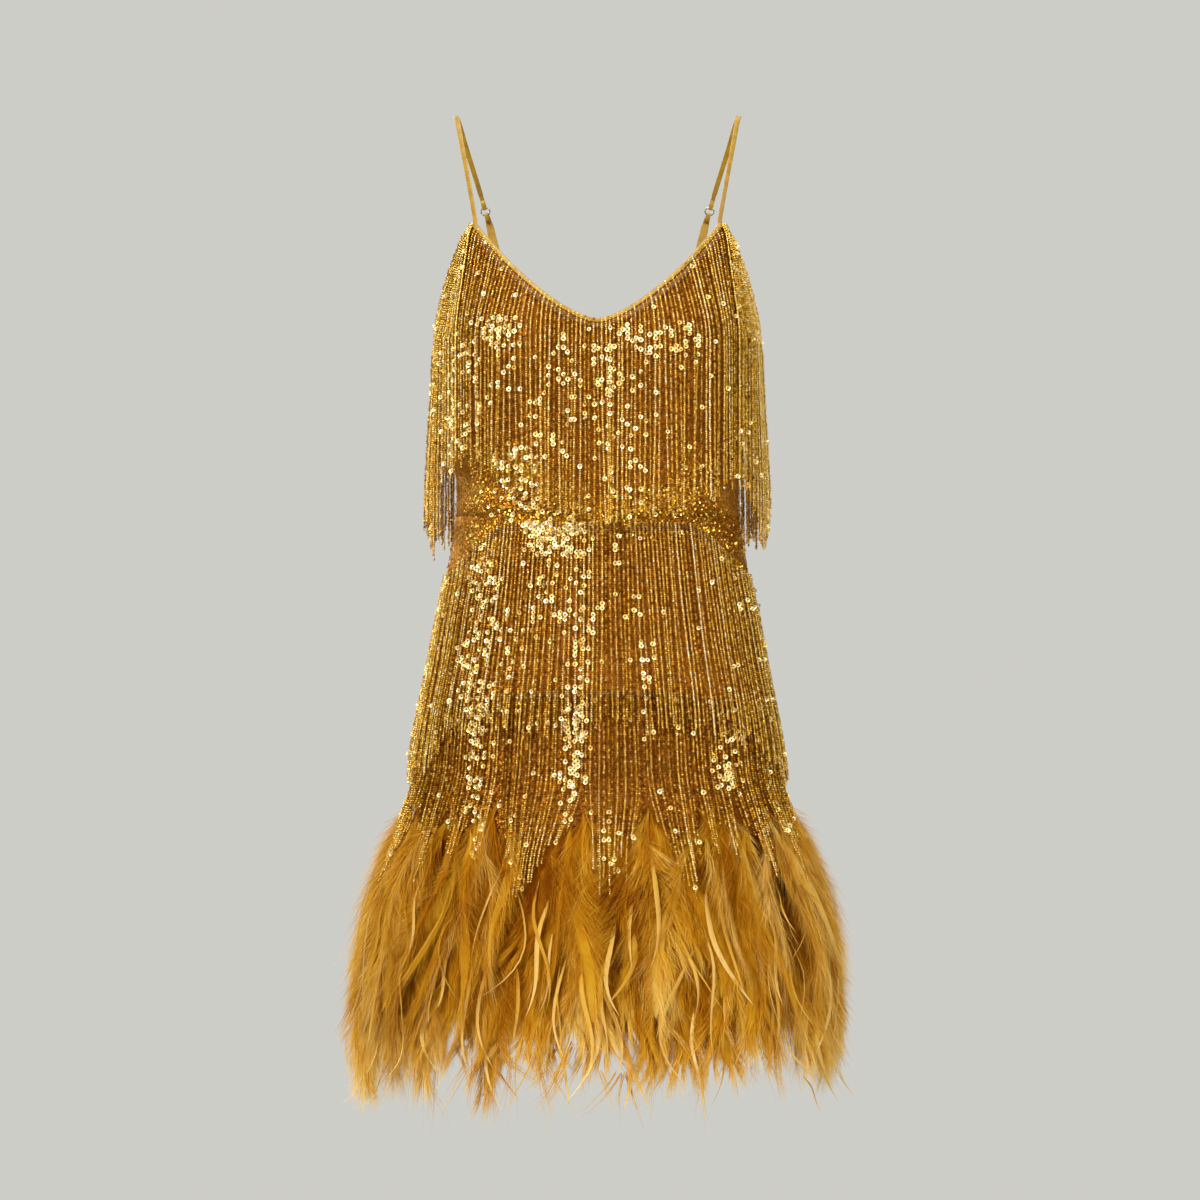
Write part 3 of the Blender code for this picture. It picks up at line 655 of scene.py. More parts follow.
def panel(name, angles, top, bottom, rows, material):
    """One cloth piece on the form: two grids a wall apart, joined round the edge."""
    angles = angles[None, :]
    z = top(angles) + (bottom(angles) - top(angles)) * np.linspace(0, 1, rows)[:, None]
    dip = crease_depth(angles, z)
    outer = on_form(angles, z, -dip - WALL_GAP)
    inner = on_form(angles, z, -dip - WALL_GAP - WALL)
    columns = angles.shape[1]
    size = rows * columns
    grid = strip_faces(rows, columns)
    rim = [*range(columns), *(r * columns + columns - 1 for r in range(1, rows))]
    rim += [(rows - 1) * columns + c for c in range(columns - 2, -1, -1)]
    rim += [r * columns for r in range(rows - 2, 0, -1)]
    faces = grid + [tuple(size + k for k in face[::-1]) for face in grid]
    faces += [(a, a + size, b + size, b) for a, b in zip(rim, rim[1:] + rim[:1])]
    # Painted shade: the outer side's tone darkens the cloth under the strings and sequins.
    bare = painted_light_share(np.broadcast_to(angles, z.shape), z).ravel()
    pile = Pile()
    pile.add(np.stack([outer, inner])[None], faces, np.concatenate([bare, np.full(size, INSIDE_TONE)]))
    made = pile.make(name, [material])
    width, length = (np.linalg.norm(np.diff(outer, axis=k), axis=2).sum(axis=k).max() for k in (1, 0))
    down, along = np.gradient(outer, axis=0), np.gradient(outer, axis=1)
    area = np.linalg.norm(np.cross(down, along), axis=2)[:-1, :-1].sum()
    return made, (width * MM, length * MM), area * MM * MM


def seam_half(z):
    return math.degrees(SEAM / 2 / float(radius(90.0, z)))


def make_walls(cloth):
    seam, low = 90 - seam_half(UNDERARM_Z), 90 - seam_half(HEM_Z)
    arm = ARM_START + (seam - ARM_START) * np.linspace(0, 1, 18) ** 1.3
    right = np.concatenate([np.linspace(0, NECK_END, 22), arm])
    across = lambda middle, half: np.linspace(middle - half, middle + half, PANEL_COLUMNS)
    waist_over, waist_under = level(WAIST_SEAM_Z + SEAM / 2), level(WAIST_SEAM_Z - SEAM / 2)
    cuts = {
        "bodice_front": (np.concatenate([-right[:0:-1], right]), top_edge, waist_over, 40),
        "bodice_back": (across(180, seam), top_edge, waist_over, 30),
        "skirt_front": (across(0, low), waist_under, level(HEM_Z), 40),
        "skirt_back": (across(180, low), waist_under, level(HEM_Z), 40),
    }
    return {node: panel(f"cloth_{node}", *cut, cloth) for node, cut in cuts.items()}


# Beads and sequins

BEAD_FACES = [(0, 3, 2), (0, 4, 3), (0, 2, 4), (1, 2, 3), (1, 3, 4), (1, 4, 2)]
RING_SIDES = 9
RING_RADIUS = 2.2
RING_HOLE = 0.85
RING_CUP = 0.35
RING_EVERY = 2
RING_OUT = 1.3
RING_LEAN = (0.1, 0.2, 1.0)
DISC_SIDES = 5
DISC_RADIUS = 1.2
DISC_LEAN = (0.3, 0.1, 1.0)
OVER_OUT = 0.6
# Painted light: strings that lie further out are lighter, the ones behind them darker as in their shade.
OVER_PAINTED_LIGHT = 0.05
BEAD_TONE = 0.53
BEAD_TONE_SPREAD = 0.15
STRING_TONE_SPREAD = 0.12
# Painted glints: a share of beads is made brighter, as though each caught the light.
PAINTED_GLINT_BEADS = 0.08
PAINTED_GLINT_TONE = 0.34

# Many ring sequins lean toward the main light, so that patches of them flash
LIT_FACING = np.array([-0.23, 0.94, 0.24])


def add_beads(pile, centres, along, tone, size, random):
    """Faceted beads threaded along the string, each turned at random."""
    across = unit(np.cross(along, random.normal(size=centres.shape)))
    deep = np.cross(along, across)
    tall = along * (BEAD_HEIGHT / 2 * size)[:, None]
    reach = (BEAD_WIDTH / 2 * size)[:, None]
    turns = np.radians((0, 120, 240))
    corners = [centres + (across * math.cos(t) + deep * math.sin(t)) * reach for t in turns]
    pile.add(np.stack([centres - tall, centres + tall, *corners], axis=1), BEAD_FACES, tone)


def outlines(centres, facing, lean, sides, reach):
    """Round outlines with some points each. lean is a way that none of them faces."""
    side = unit(np.cross(facing, lean))
    up = np.cross(facing, side)
    turns = np.arange(sides) / sides * 2 * math.pi
    circle = side[:, None] * np.cos(turns)[:, None] + up[:, None] * np.sin(turns)[:, None]
    return centres[:, None] + circle * reach


def add_rings(pile, centres, facing, slot, random):
    """Cupped round sequins with a hole."""
    tone, size = tones(random, 0.70, 0.15, len(centres)), random.uniform(0.82, 1.04, len(centres))
    outer = outlines(centres, facing, RING_LEAN, RING_SIDES, (RING_RADIUS * size)[:, None, None])
    inner = outlines(centres, facing, RING_LEAN, RING_SIDES, RING_HOLE) - facing[:, None] * RING_CUP
    n = RING_SIDES
    faces = [(k, (k + 1) % n, n + (k + 1) % n, n + k) for k in range(n)]
    pile.add(np.concatenate([outer, inner], axis=1), faces, tone, slot)


def ring_share(points):
    """The share of beads that are ring sequins. The back has the same patches, left for right."""
    side = np.where(points[..., 1] <= 0, points[..., 0], -points[..., 0])
    share = np.full(side.shape, RING_SHARE)
    for patch in RING_PATCHES:
        near = ((side - patch.x) / patch.wide) ** 4 + ((points[..., 2] - patch.z) / patch.high) ** 4
        share += patch.share * np.exp(-near)
    return share


def ring_facing(outward, random):
    ones = np.ones(len(outward))
    side = np.stack([ones, np.where(outward[:, 1] > 0, 1, -1), ones], axis=1)
    return unit(0.45 * outward + 0.75 * LIT_FACING * side + random.normal(0, 0.24, outward.shape))


def hang_strings(pile, angles, roots, lengths, place, random, shade=None):
    """Strings of beads. place(angle, z, share of length) gives each bead's angle and distance.

    Every other string lies a little further out, painted lighter. shade(z) makes beads darker or brighter.
    """
    strings = len(angles)
    steps = int(lengths.max() / BEAD_APART) + 1
    down = np.arange(steps)[None, :] * BEAD_APART
    z = roots[:, None] - down
    share = down / lengths[:, None]
    turned, distance = place(angles[:, None], z, share)
    is_over = np.arange(strings) % 2 == 0
    points = at_angle(turned, distance + np.where(is_over, OVER_OUT, 0.0)[:, None], z)
    points += random.normal(0, 0.11, points.shape)
    along = unit(np.gradient(points, axis=1))
    kept = share <= 1
    spread = lambda values: np.broadcast_to(values[:, None], kept.shape)[kept]
    # Painted light and shade by how far out each string lies
    string_tone = random.normal(0, STRING_TONE_SPREAD, strings) + np.where(is_over, OVER_PAINTED_LIGHT, -OVER_PAINTED_LIGHT)
    string_size = random.normal(1, 0.06, strings)
    points, along, turned = points[kept], along[kept], np.broadcast_to(turned, kept.shape)[kept]
    count = len(points)
    tone = BEAD_TONE + spread(string_tone) + random.normal(0, BEAD_TONE_SPREAD, count)
    # Painted glints on a few beads
    tone += np.where(random.random(count) < PAINTED_GLINT_BEADS, PAINTED_GLINT_TONE, 0.0)
    if shade:
        tone += shade(points[:, 2])
    tone = np.clip(tone, 0, 1)
    size = spread(string_size) * random.uniform(0.88, 1.08, count)
    outward = at_angle(turned, 1.0, 0.0)
    place_on_string = np.arange(steps)[None, :] + random.integers(0, RING_EVERY, strings)[:, None]
    may_be_ring = (place_on_string % RING_EVERY == 0)[kept]
    rings = may_be_ring & (random.random(count) < ring_share(points) * RING_EVERY)
    add_beads(pile, points[~rings], along[~rings], tone[~rings], size[~rings], random)
    facing = ring_facing(outward[rings], random)
    add_rings(pile, points[rings] + outward[rings] * RING_OUT, facing, 1, random)


# Fringe

CALM_DEGREES = 12.0
BODICE_OUT = 2.6
EDGE_OUT = 0.5
COMES_OUT_OVER = 9.0
SIDE_SWING = 7.0
SWING_REACH = 26.0
CLEAR_OF_HIP_TIER = 6.0
# Strings start over the binding's outer leg, this far under the edge
ROOT_UNDER_EDGE = 0.4
TAPE_SHORT_OF_POINT = 1.2
ARM_STRING_APART = 2.9
FAN_OVERLAP = 1.2
SIDE_LAYERS = ((91.5, 116.0), (244.0, 268.5))
SIDE_LAYER_OUT = 3.4
TIER_HALF = 89.6
TIER_TAPE_HALF = 89.7
HIP_LENGTH = 173.0
HIP_OUT = 2.5
HIP_LIFT = 5.5
HEM_OUT = 2.6
HEM_OVER_FEATHERS = 6.0
GATHER_FROM = -572.0
GATHER_TO = -650.0
GATHERED = 0.42
PARTING_Z = -606.0
GROUP_Z = -634.0
DEEPER_A_DEGREE = 2.0
DEEPER_UP_TO = 18
SIDE_GROUPS_HIGHER = 16
LONG_STRINGS = 0.10


def sway(angles, z_share, distance, seed, size=3.0):
    """How strings bunch and part as they hang, in degrees. They hang straight where two fringes meet."""
    index = np.arange(len(angles))[:, None]
    moved = wave(index * 0.42 + z_share * 0.5, seed) * size * z_share ** 1.3
    moved = moved + wave(index * 2.3 + z_share * 1.6, seed + 1) * 1.15 * np.sqrt(z_share)
    to_point = np.abs(np.abs(wrapped(np.reshape(angles, (-1, 1)))) - POINT_ANGLE)
    return np.degrees(moved / distance) * (0.12 + 0.88 * smooth_step(0, CALM_DEGREES, to_point))


def tape_strip(pile, low, high, line):
    """The narrow tape that the strings hang from."""
    angles = np.linspace(low, high, 240)
    stretch = edge_stretch(angles, line)
    top = line(angles)
    bottom = top - TIER_TAPE_HEIGHT * stretch
    near, far = TAPE_OFF_CLOTH, TAPE_OFF_CLOTH + TIER_TAPE
    corners = ((top, near), (top, far), (bottom, far), (bottom, near))
    add_bar(pile, np.stack([on_form(angles, z, out) for z, out in corners], axis=1), slot=2)


def widest_passed(angle, z, top):
    """The largest radius between the string's root and this level."""
    reach = np.zeros(np.broadcast(angle, z).shape)
    for share in np.linspace(0, 1, 24):
        reach = np.maximum(reach, radius(angle, top + (z - top) * share))
    return reach


def bodice_distance(angle, z, roots):
    """Strings hang from the fullest place that they pass.

    They start at the edge and soon lie over the binding.
    """
    out = EDGE_OUT + (BODICE_OUT - EDGE_OUT) * smooth_step(0, COMES_OUT_OVER, roots[:, None] - z)
    return widest_passed(angle, z, roots[:, None]) + out


def bodice_place(roots, seed, swings=False, out=0.0):
    """Where bodice strings hang: clear of the hip tier, and swung out at the side."""
    def place(angle, z, share):
        distance = bodice_distance(angle, z, roots)
        if swings:
            side = 1 - smooth_step(0, SWING_REACH, np.abs(off_sides(angle) - 90))
            distance = distance + SIDE_SWING * side * smooth_step(UNDERARM_Z, WAIST_SEAM_Z, z)
        distance = np.maximum(distance, radius(angle, z) + CLEAR_OF_HIP_TIER * smooth_step(-340, -356, z))
        return angle + sway(angle, share, distance, seed), distance + out
    return place


def hang_bodice(pile, angles, roots, uneven, place, random):
    lengths = roots - bodice_tips(angles) + random.normal(0, uneven, len(angles))
    hang_strings(pile, angles, roots, lengths, place, random)


def make_neck_fringe(name, materials, random):
    pile = Pile()
    end = NECK_END - TAPE_SHORT_OF_POINT
    angles = spread_angles(-POINT_ANGLE, POINT_ANGLE, below_binding, STRING_APART)
    steep = np.where(np.abs(angles) < end, edge_stretch(angles, top_edge), 1.0)
    roots = top_edge(angles) - ROOT_UNDER_EDGE * steep
    hang_bodice(pile, angles, roots, 4, bodice_place(roots, 5), random)
    tape_strip(pile, -end, end, below_binding)
    return pile.make(name, materials, (1,))


def arm_edge_angle(z):
    """The armhole edge's angle at a level, on the left side."""
    share = np.arcsin(np.clip((z - STRAP_POINT_Z) / (UNDERARM_Z - STRAP_POINT_Z), 0, 1)) / (math.pi / 2)
    return ARM_START + (90 - ARM_START) * share


def fan_place(roots, part, sign):
    """Where strings of the armhole hang: round its edge at first, then straight down."""
    def place(angle, z, share):
        edge = arm_edge_angle(z + (BINDING_LEG + 0.5) * 1.5)
        turned = np.minimum(POINT_ANGLE + (edge - POINT_ANGLE) * part[:, None], angle * sign)
        swing = SIDE_SWING * smooth_step(60, 88, turned) * smooth_step(UNDERARM_Z, WAIST_SEAM_Z, z)
        distance = bodice_distance(turned, z, roots) + swing
        return sign * turned + sway(angle, share, distance, 11 + sign), distance
    return place


def make_arm_fringe(name, materials, random):
    """Strings that fan from each strap point down the armhole, and hang from the back edge."""
    pile = Pile()
    final = spread_angles(POINT_ANGLE - FAN_OVERLAP, 90, level(UNDERARM_Z), ARM_STRING_APART)
    part = (final - POINT_ANGLE) / (90 - POINT_ANGLE)
    order = np.arange(len(final))
    starts_at = np.select([order % 4 == 0, order % 4 == 2], [0.0, 0.2], 0.45)
    root_levels = top_edge(ARM_START + (90 - ARM_START) * starts_at) - ROOT_UNDER_EDGE
    for sign in (-1, 1):
        roots = root_levels - np.abs(random.normal(0, 2, len(final)))
        hang_bodice(pile, sign * final, roots, 5, fan_place(roots, part, sign), random)
    angles = spread_angles(90.6, 269.4, below_binding, STRING_APART)
    roots = top_edge(angles) - ROOT_UNDER_EDGE * edge_stretch(angles, top_edge)
    hang_bodice(pile, angles, roots, 6, bodice_place(roots, 17, True), random)
    for low, high in SIDE_LAYERS:
        angles = spread_angles(low, high, below_binding, STRING_APART)
        roots = below_binding(angles) - 1.0
        hang_bodice(pile, angles, roots, 8, bodice_place(roots, 19, True, SIDE_LAYER_OUT), random)
    end = ARM_START + TAPE_SHORT_OF_POINT
    tape_strip(pile, end, 360 - end, below_binding)
    return pile.make(name, materials, (1,))


def make_hip_fringe(name, turn, materials, random):
    pile = Pile()
    angles = spread_angles(turn - TIER_HALF, turn + TIER_HALF, hip_tape_top, STRING_APART)
    roots = hip_tape_top(angles) + 1.6
    lengths = HIP_LENGTH + random.normal(0, 5, len(angles)) + 6 * wave(angles * 0.11, 23 + turn)

    def place(angle, z, share):
        distance = radius(angle, z) + HIP_OUT + HIP_LIFT * smooth_step(0.45, 1, share)
        return angle + sway(angles, share, distance, 29 + turn), distance
    hang_strings(pile, angles, roots, lengths, place, random)
    tape_strip(pile, turn - TIER_TAPE_HALF, turn + TIER_TAPE_HALF, hip_tape_top)
    return pile.make(name, materials, (1,))


def hem_shade(z):
    """The lowest strings are dark under the tier above and brighter toward their ends."""
    return -0.20 + 0.22 * smooth_step(-585, -640, z)


def make_hem_fringe(name, turn, groups, materials, random):
    """The lowest strings lean together into points between the feathers' peaks."""
    pile = Pile()
    angles = spread_angles(turn - TIER_HALF, turn + TIER_HALF, hem_tape_top, STRING_APART)
    roots = hem_tape_top(angles) + 1.0
    local = angles - turn
    mine = np.clip(np.searchsorted(groups[:, 0], local) - 1, 0, len(groups) - 1)
    start, middle, end = groups[mine].T
    off_middle = np.abs(local - middle) / np.where(local < middle, middle - start, end - middle)
    depth = (GROUP_Z - DEEPER_A_DEGREE * np.minimum(end - start, DEEPER_UP_TO)
             + SIDE_GROUPS_HIGHER * (np.abs(middle) > 66))
    tips = depth + (PARTING_Z - depth) * 0.95 * off_middle ** 1.15 + random.normal(0, 5, len(angles))
    long = random.random(len(angles)) < LONG_STRINGS
    tips = np.where(long, tips - random.uniform(8, 22, len(angles)), tips)
    pull = random.uniform(0.84, 1.0, len(angles))

    def place(angle, z, share):
        gather = GATHERED * pull[:, None] * smooth_step(GATHER_FROM, GATHER_TO, z)
        turned = angle + (middle + turn - angles)[:, None] * gather
        over = flare_out(UPPER_FLARE, turned, z) + HEM_OVER_FEATHERS
        over = over - 4 * smooth_step(60, 85, off_sides(turned))
        out = HEM_OUT + (over - HEM_OUT) * smooth_step(-565, -612, z)
        distance = radius(turned, z) + out
        return turned + sway(angles, share, distance, 37 + turn, 1.6), distance
    hang_strings(pile, angles, roots, roots - tips, place, random, hem_shade)
    tape_strip(pile, turn - TIER_TAPE_HALF, turn + TIER_TAPE_HALF, hem_tape_top)
    return pile.make(name, materials, (1,))


# Small sequins sewn on the waist

WAIST_SEQUIN_APART = 1.8
WAIST_RADIUS = 108
WAIST_SEQUINS_OUT = 0.9


def make_waist_sequins(name, low, high, top, bottom, materials, random):
    """Flat sequins all over, with ring sequins in the patches."""
    pile = Pile()
    levels = np.linspace(top, bottom, int((top - bottom) / WAIST_SEQUIN_APART))
    columns = int(math.radians(high - low) * WAIST_RADIUS / WAIST_SEQUIN_APART)
    angle = low + (np.arange(columns) + 0.5) / columns * (high - low)
    angle, z = np.meshgrid(angle, levels)
    row, column = np.indices(angle.shape)
    may_be_ring = ((row % 2 == 0) & ((column + row // 2) % 2 == 0)).ravel()
    angle = np.clip(angle + random.normal(0, 0.42, angle.shape), low + 0.8, high - 0.8).ravel()
    z = np.clip(z + random.normal(0, 0.6, z.shape), bottom, top).ravel()
    kept = random.random(angle.shape) < sewn_share(angle, z) * waist_shown(angle, z)
    angle, z, may_be_ring = angle[kept], z[kept], may_be_ring[kept]
    centres = on_form(angle, z, WAIST_SEQUINS_OUT - crease_depth(angle, z))
    normal = form_normal(angle, z)
    rings = may_be_ring & (random.random(len(angle)) < ring_share(centres) * 1.1)
    facing = unit(normal + random.normal(0, 0.42, centres.shape))[~rings]
    tone = tones(random, 0.34, 0.16, len(angle))[~rings]
    reach = (DISC_RADIUS * random.uniform(0.55, 0.85, len(tone)))[:, None, None]
    discs = outlines(centres[~rings], facing, DISC_LEAN, DISC_SIDES, reach)
    pile.add(discs, [tuple(range(DISC_SIDES))], tone, 1)
    facing = ring_facing(normal, random)[rings]
    add_rings(pile, centres[rings] + normal[rings] * 0.8, facing, 0, random)
    return pile.make(name, materials, (0, 1))


# Edge binding

STITCH_APART = 2.6
STITCH_LENGTH = 1.7
STITCH_WIDTH = 0.32
STITCH_RISE = 0.14
STITCH_SINK = 0.12
STITCH_TONE = 0.9


def binding(name, angles, material):
    """Bias tape folded over the top edge, with a line of stitches along its outer leg."""
    near, far, inside = SEAM, SEAM + TAPE, -WALL - 0.2 - LEG_EASE
    points = on_form(angles, top_edge(angles))
    along = unit(np.gradient(points, axis=0))
    normal = form_normal(angles, top_edge(angles))
    down = unit(np.cross(along, normal))
    profile = [
        (BINDING_LEG, near + LEG_LIFT), (BINDING_LEG + 0.15, (near + far) / 2 + LEG_LIFT),
        (BINDING_LEG - 0.1, far + LEG_LIFT), (BINDING_LEG * 0.5, far + LEG_LIFT + 0.15), (0.2, far + 0.05),
        (-near - 0.45, far - 0.35), (-far + 0.05, 0.0), (-far, -WALL / 2), (-far + 0.05, -WALL),
        (-near - 0.45, inside - near - 0.3), (0.2, inside - far + 0.1), (BINDING_LEG, inside - far),
        (BINDING_LEG, inside - near), (-near, inside - near), (-near, near),
    ]
    pile = Pile()
    add_bar(pile, np.stack([points + down * d + normal * out for d, out in profile], axis=1))
    stitched = points + down * (BINDING_LEG - 0.75) + normal * (far + LEG_LIFT + 0.12)
    add_stitches(pile, stitched, along, normal)
    return pile.make(name, [material])


def add_stitches(pile, line, along, normal):
    travelled = travelled_along(line)
    wanted = np.arange(STITCH_APART, travelled[-1] - STITCH_APART, STITCH_APART)
    pick = lambda values: np.stack([np.interp(wanted, travelled, values[:, k]) for k in range(3)], axis=1)
    centre, tangent, out = pick(line), unit(pick(along)), unit(pick(normal))
    side = np.cross(tangent, out) * STITCH_WIDTH / 2
    half, sink = tangent * STITCH_LENGTH / 2, out * STITCH_SINK
    corners = [
        centre - half - sink, centre - side, centre + out * STITCH_RISE, centre + side, centre + half - sink]
    pile.add(np.stack(corners, axis=1), [(0, 1, 2), (0, 2, 3), (4, 2, 1), (4, 3, 2)], STITCH_TONE)


# Straps, back tabs and slide rings

STRAP_THICK = 1.0
STRAP_WIDTH = 4.4
STRAP_WIDTH_AT_RING = 3.8
TAB_WIDTH_TOP = 7.0
TAB_WIDTH_BOTTOM = 10.0
TAB_WIDTHS_INTO_LOOP = (TAB_WIDTH_TOP, 6.4, 4.8)
STRAP_TUCK = 9.0
TUCK_ABOVE = 4.0
TAB_X = 64.0
SLIDE_RADIUS = 4.0
SLIDE_WIRE = 0.55
SLIDE_STEPS = 48
WIRE_SIDES = 14
LOOP_RADIUS = SLIDE_WIRE + SEAM + STRAP_THICK / 2
LOOP_TAIL = 11.0
LOOP_NECK = 3.2
RING_CENTRE = np.array([101.7, 79.0, -72.4])
STRAP_DOWN = unit(np.array([-0.24, 0.52, -0.82]))
SHOULDER_LINE = np.array([
    (111.6, -48.0, -62.0), (117.8, -29.0, -30.0), (122.3, -13.0, -6.5), (124.5, 0.0, STRAP_THICK / 2),
    (121.9, 14.0, -5.5), (116.9, 34.0, -22.5), (109.5, 56.0, -46.0),
])
BACK_LINE = np.array([(92.5, 91.0, -108.0), (81.0, 91.5, -150.0), (70.5, 87.5, -184.0)])


def curve_through(*points):
    """Points on a smooth curve through the given ones."""
    points = np.array(points)
    ends = np.concatenate([[2 * points[0] - points[1]], points, [2 * points[-1] - points[-2]]])
    found = []
    for p, q, r, s in zip(ends, ends[1:], ends[2:], ends[3:]):
        for t in np.arange(7) / 7:
            found.append(0.5 * (2 * q + (r - p) * t + (2 * p - 5 * q + 4 * r - s) * t ** 2
                                + (3 * q - p - 3 * r + s) * t ** 3))
    return np.array(found + [points[-1]])


def ring_side():
    across = np.array([1.0, 0, 0])
    return unit(across - STRAP_DOWN * (across @ STRAP_DOWN))


def ring_loop(down):
    """The strap's turn round the ring's wire, from its outer ply to the end of its tail."""
    outward = unit(np.cross(STRAP_DOWN, ring_side()))
    outward = outward * np.sign(outward[1])
    bend = RING_CENTRE - down * (SLIDE_RADIUS - 0.5)
    half_gap = STRAP_THICK / 2 + SEAM / 2 + 0.05
    turns = np.radians(np.arange(0, 181, 15))[:, None]
    turn = bend + outward * LOOP_RADIUS * np.cos(turns) + down * LOOP_RADIUS * np.sin(turns)
    lead = [bend - down * LOOP_TAIL + outward * half_gap, bend - down * LOOP_NECK + outward * LOOP_RADIUS]
    tail = [
        bend - down * LOOP_NECK - outward * LOOP_RADIUS, bend - down * (LOOP_TAIL - 3) - outward * half_gap]
    return np.concatenate([lead, turn, tail])


def tucked(angle, z):
    """A point inside the cloth, clear of the binding's inner leg."""
    return on_form(angle, z, -(SOLID_WALL + LEG_EASE + SEAM + TAPE + SEAM + 0.1 + STRAP_THICK / 2))


def flat_strap(pile, path, widths, across_start, across_end, turned_by):
    """A pressed tube of satin along a path: thin, with rounded sides."""
    share = np.linspace(0, 1, len(path))
    mix = smooth_step(0.1, turned_by, share)[:, None]
    across = across_start * (1 - mix) + across_end * mix
    along = unit(np.gradient(path, axis=0))
    side = unit(across - along * (across * along).sum(axis=1, keepdims=True))
    face = np.cross(along, side)
    section = []
    for t in np.arange(14) / 14 * 2 * math.pi:
        wide = np.sign(math.cos(t)) * abs(math.cos(t)) ** 0.55 / 2
        thick = np.sign(math.sin(t)) * abs(math.sin(t)) ** 0.8 / 2
        section.append(path + side * (widths * wide)[:, None] + face * STRAP_THICK * thick)
    add_bar(pile, np.stack(section, axis=1))


def mirror_x(values, sign):
    return values * np.array([sign, 1, 1])


def strap_path():
    """The front strap's path from its tuck to the ring, its widths and the way it lies at its start."""
    loop = ring_loop(STRAP_DOWN)
    start = tucked(POINT_ANGLE, STRAP_POINT_Z + TUCK_ABOVE)
    over = curve_through(start, *SHOULDER_LINE, loop[0])
    path = np.concatenate([[tucked(POINT_ANGLE, STRAP_POINT_Z - STRAP_TUCK)], over, loop[1:]])
    widths = np.where(np.arange(len(path)) < len(path) - len(loop), STRAP_WIDTH, STRAP_WIDTH_AT_RING)
    return path, widths, unit(round_form(POINT_ANGLE, STRAP_POINT_Z)), 0.4


def tab_path():
    """The same for the back tab, which is tucked in at the back edge."""
    angle = angle_where(TAB_X, BACK_Z, behind=True)
    edge = float(top_edge(angle))
    loop = ring_loop(-STRAP_DOWN)
    hung = curve_through(loop[0], *BACK_LINE, tucked(angle, edge + TUCK_ABOVE))
    path = np.concatenate([[tucked(angle, edge - STRAP_TUCK)], hung[::-1], loop[1:]])
    plain = len(path) - len(loop)
    widths = np.full(len(path), STRAP_WIDTH_AT_RING)
    widths[:plain] = np.linspace(TAB_WIDTH_BOTTOM, TAB_WIDTH_TOP, plain)
    widths[plain - 1:plain + 2] = TAB_WIDTHS_INTO_LOOP
    return path, widths, -unit(round_form(angle, BACK_Z)), 0.6


def make_straps(satin_material, metal):
    made = {}
    for side, sign in (("left", 1), ("right", -1)):
        for name, (path, widths, begins, turned_by) in (("strap", strap_path()), ("tab", tab_path())):
            pile = Pile()
            ends = mirror_x(ring_side(), sign)
            flat_strap(pile, mirror_x(path, sign), widths, mirror_x(begins, sign), ends, turned_by)
            made[f"{name}_{side}"] = pile.make(f"satin_{name}_{side}", [satin_material])
        made[f"ring_{side}"] = slide_ring(f"slide_ring_{side}", sign, metal)
    return made


def slide_ring(name, sign, metal):
    side, down = mirror_x(ring_side(), sign), mirror_x(STRAP_DOWN, sign)
    facing = np.cross(side, down)
    turns = np.arange(SLIDE_STEPS) / SLIDE_STEPS * 2 * math.pi
    wire = np.arange(WIRE_SIDES) / WIRE_SIDES * 2 * math.pi
    radial = side * np.cos(turns)[:, None] + down * np.sin(turns)[:, None]
    reach = SLIDE_RADIUS + SLIDE_WIRE * np.cos(wire)
    points = (mirror_x(RING_CENTRE, sign) + radial[:, None] * reach[None, :, None]
              + facing * (SLIDE_WIRE * np.sin(wire))[None, :, None])
    faces = strip_faces(SLIDE_STEPS, WIRE_SIDES, closed=True)
    last = (SLIDE_STEPS - 1) * WIRE_SIDES
    faces += [(last + j, last + (j + 1) % WIRE_SIDES, (j + 1) % WIRE_SIDES, j) for j in range(WIRE_SIDES)]
    pile = Pile()
    pile.add(points[None], faces, 0.5)
    return pile.make(name, [metal])


# Feathers

SHAFT_STEPS = 13
SHAFT_SHARE = np.linspace(0, 1, SHAFT_STEPS)
VANE_SHARE = 0.34
VANE_ACROSS = np.array([-1.0, 0.0, 1.0])
VANE_CUP = 0.32
RIPPLE = 1.6
BARB_TIMES = np.array([0.0, 0.5, 1.0])
BARB_FACES = [(0, 1, 2), (1, 3, 2)]
BARB_LENGTHS = (15, 36)
BARB_WIDTH = 0.36
BARB_DOWN = 1.7
BARB_TONE_SPREAD = 0.085
# Painted light along each barb: painted shade at its root, painted brightness toward its thin end.
ALONG_BARB_PAINTED_LIGHT = np.array([-0.10, 0.01, 0.01, 0.18])
TIP_SPREAD = 0.3
CURL_BACK = 0.3
# Painted shade on barbs that curl back into the valleys between feathers.
CURL_PAINTED_SHADE = 0.012
# Painted light: feathers toward the sides are made lighter.
SIDE_PAINTED_LIGHT = 0.17
SHAFT_TONE = 0.08
BLADE_STEPS = 12
HAIRS_A_TUFT = 6
HAIR_STEPS = 7
TUFTS = 72
TUFT_LOW = -818
TUFT_HIGH = -775
UPPER_ROOT = -598.0
PEAK_DROP = 36.0
DEGREES_A_FEATHER = 5.0
SIDES_LOWER = 20.0
SIDE_WISPS = 30
EDGE_ANGLE = 89.2
# The box that no feather leaves
LOW = np.array([-229.0, -181.0, -878.0])
HIGH = np.array([229.0, 190.0, 0.0])

# Each feather: where its root is, how long it is, how far its tip moves aside, how far it bows, how far it
# stands off, half width, tone, turn about its shaft
Plumes = namedtuple("Plumes", "angle z length lean bow off width tone roll")

# A row's barbs: how many a feather has, where on the shaft they start, how much painted shade darkens its
# root and how much paler its tip is
Barbs = namedtuple("Barbs", "count first dark_root pale_tip")

# Long narrow feathers: root, length, how far the tip moves aside, how far it stands off at its root and tip,
# width, twist, tone
Blades = namedtuple("Blades", "angle z length lean off away width twist tone")


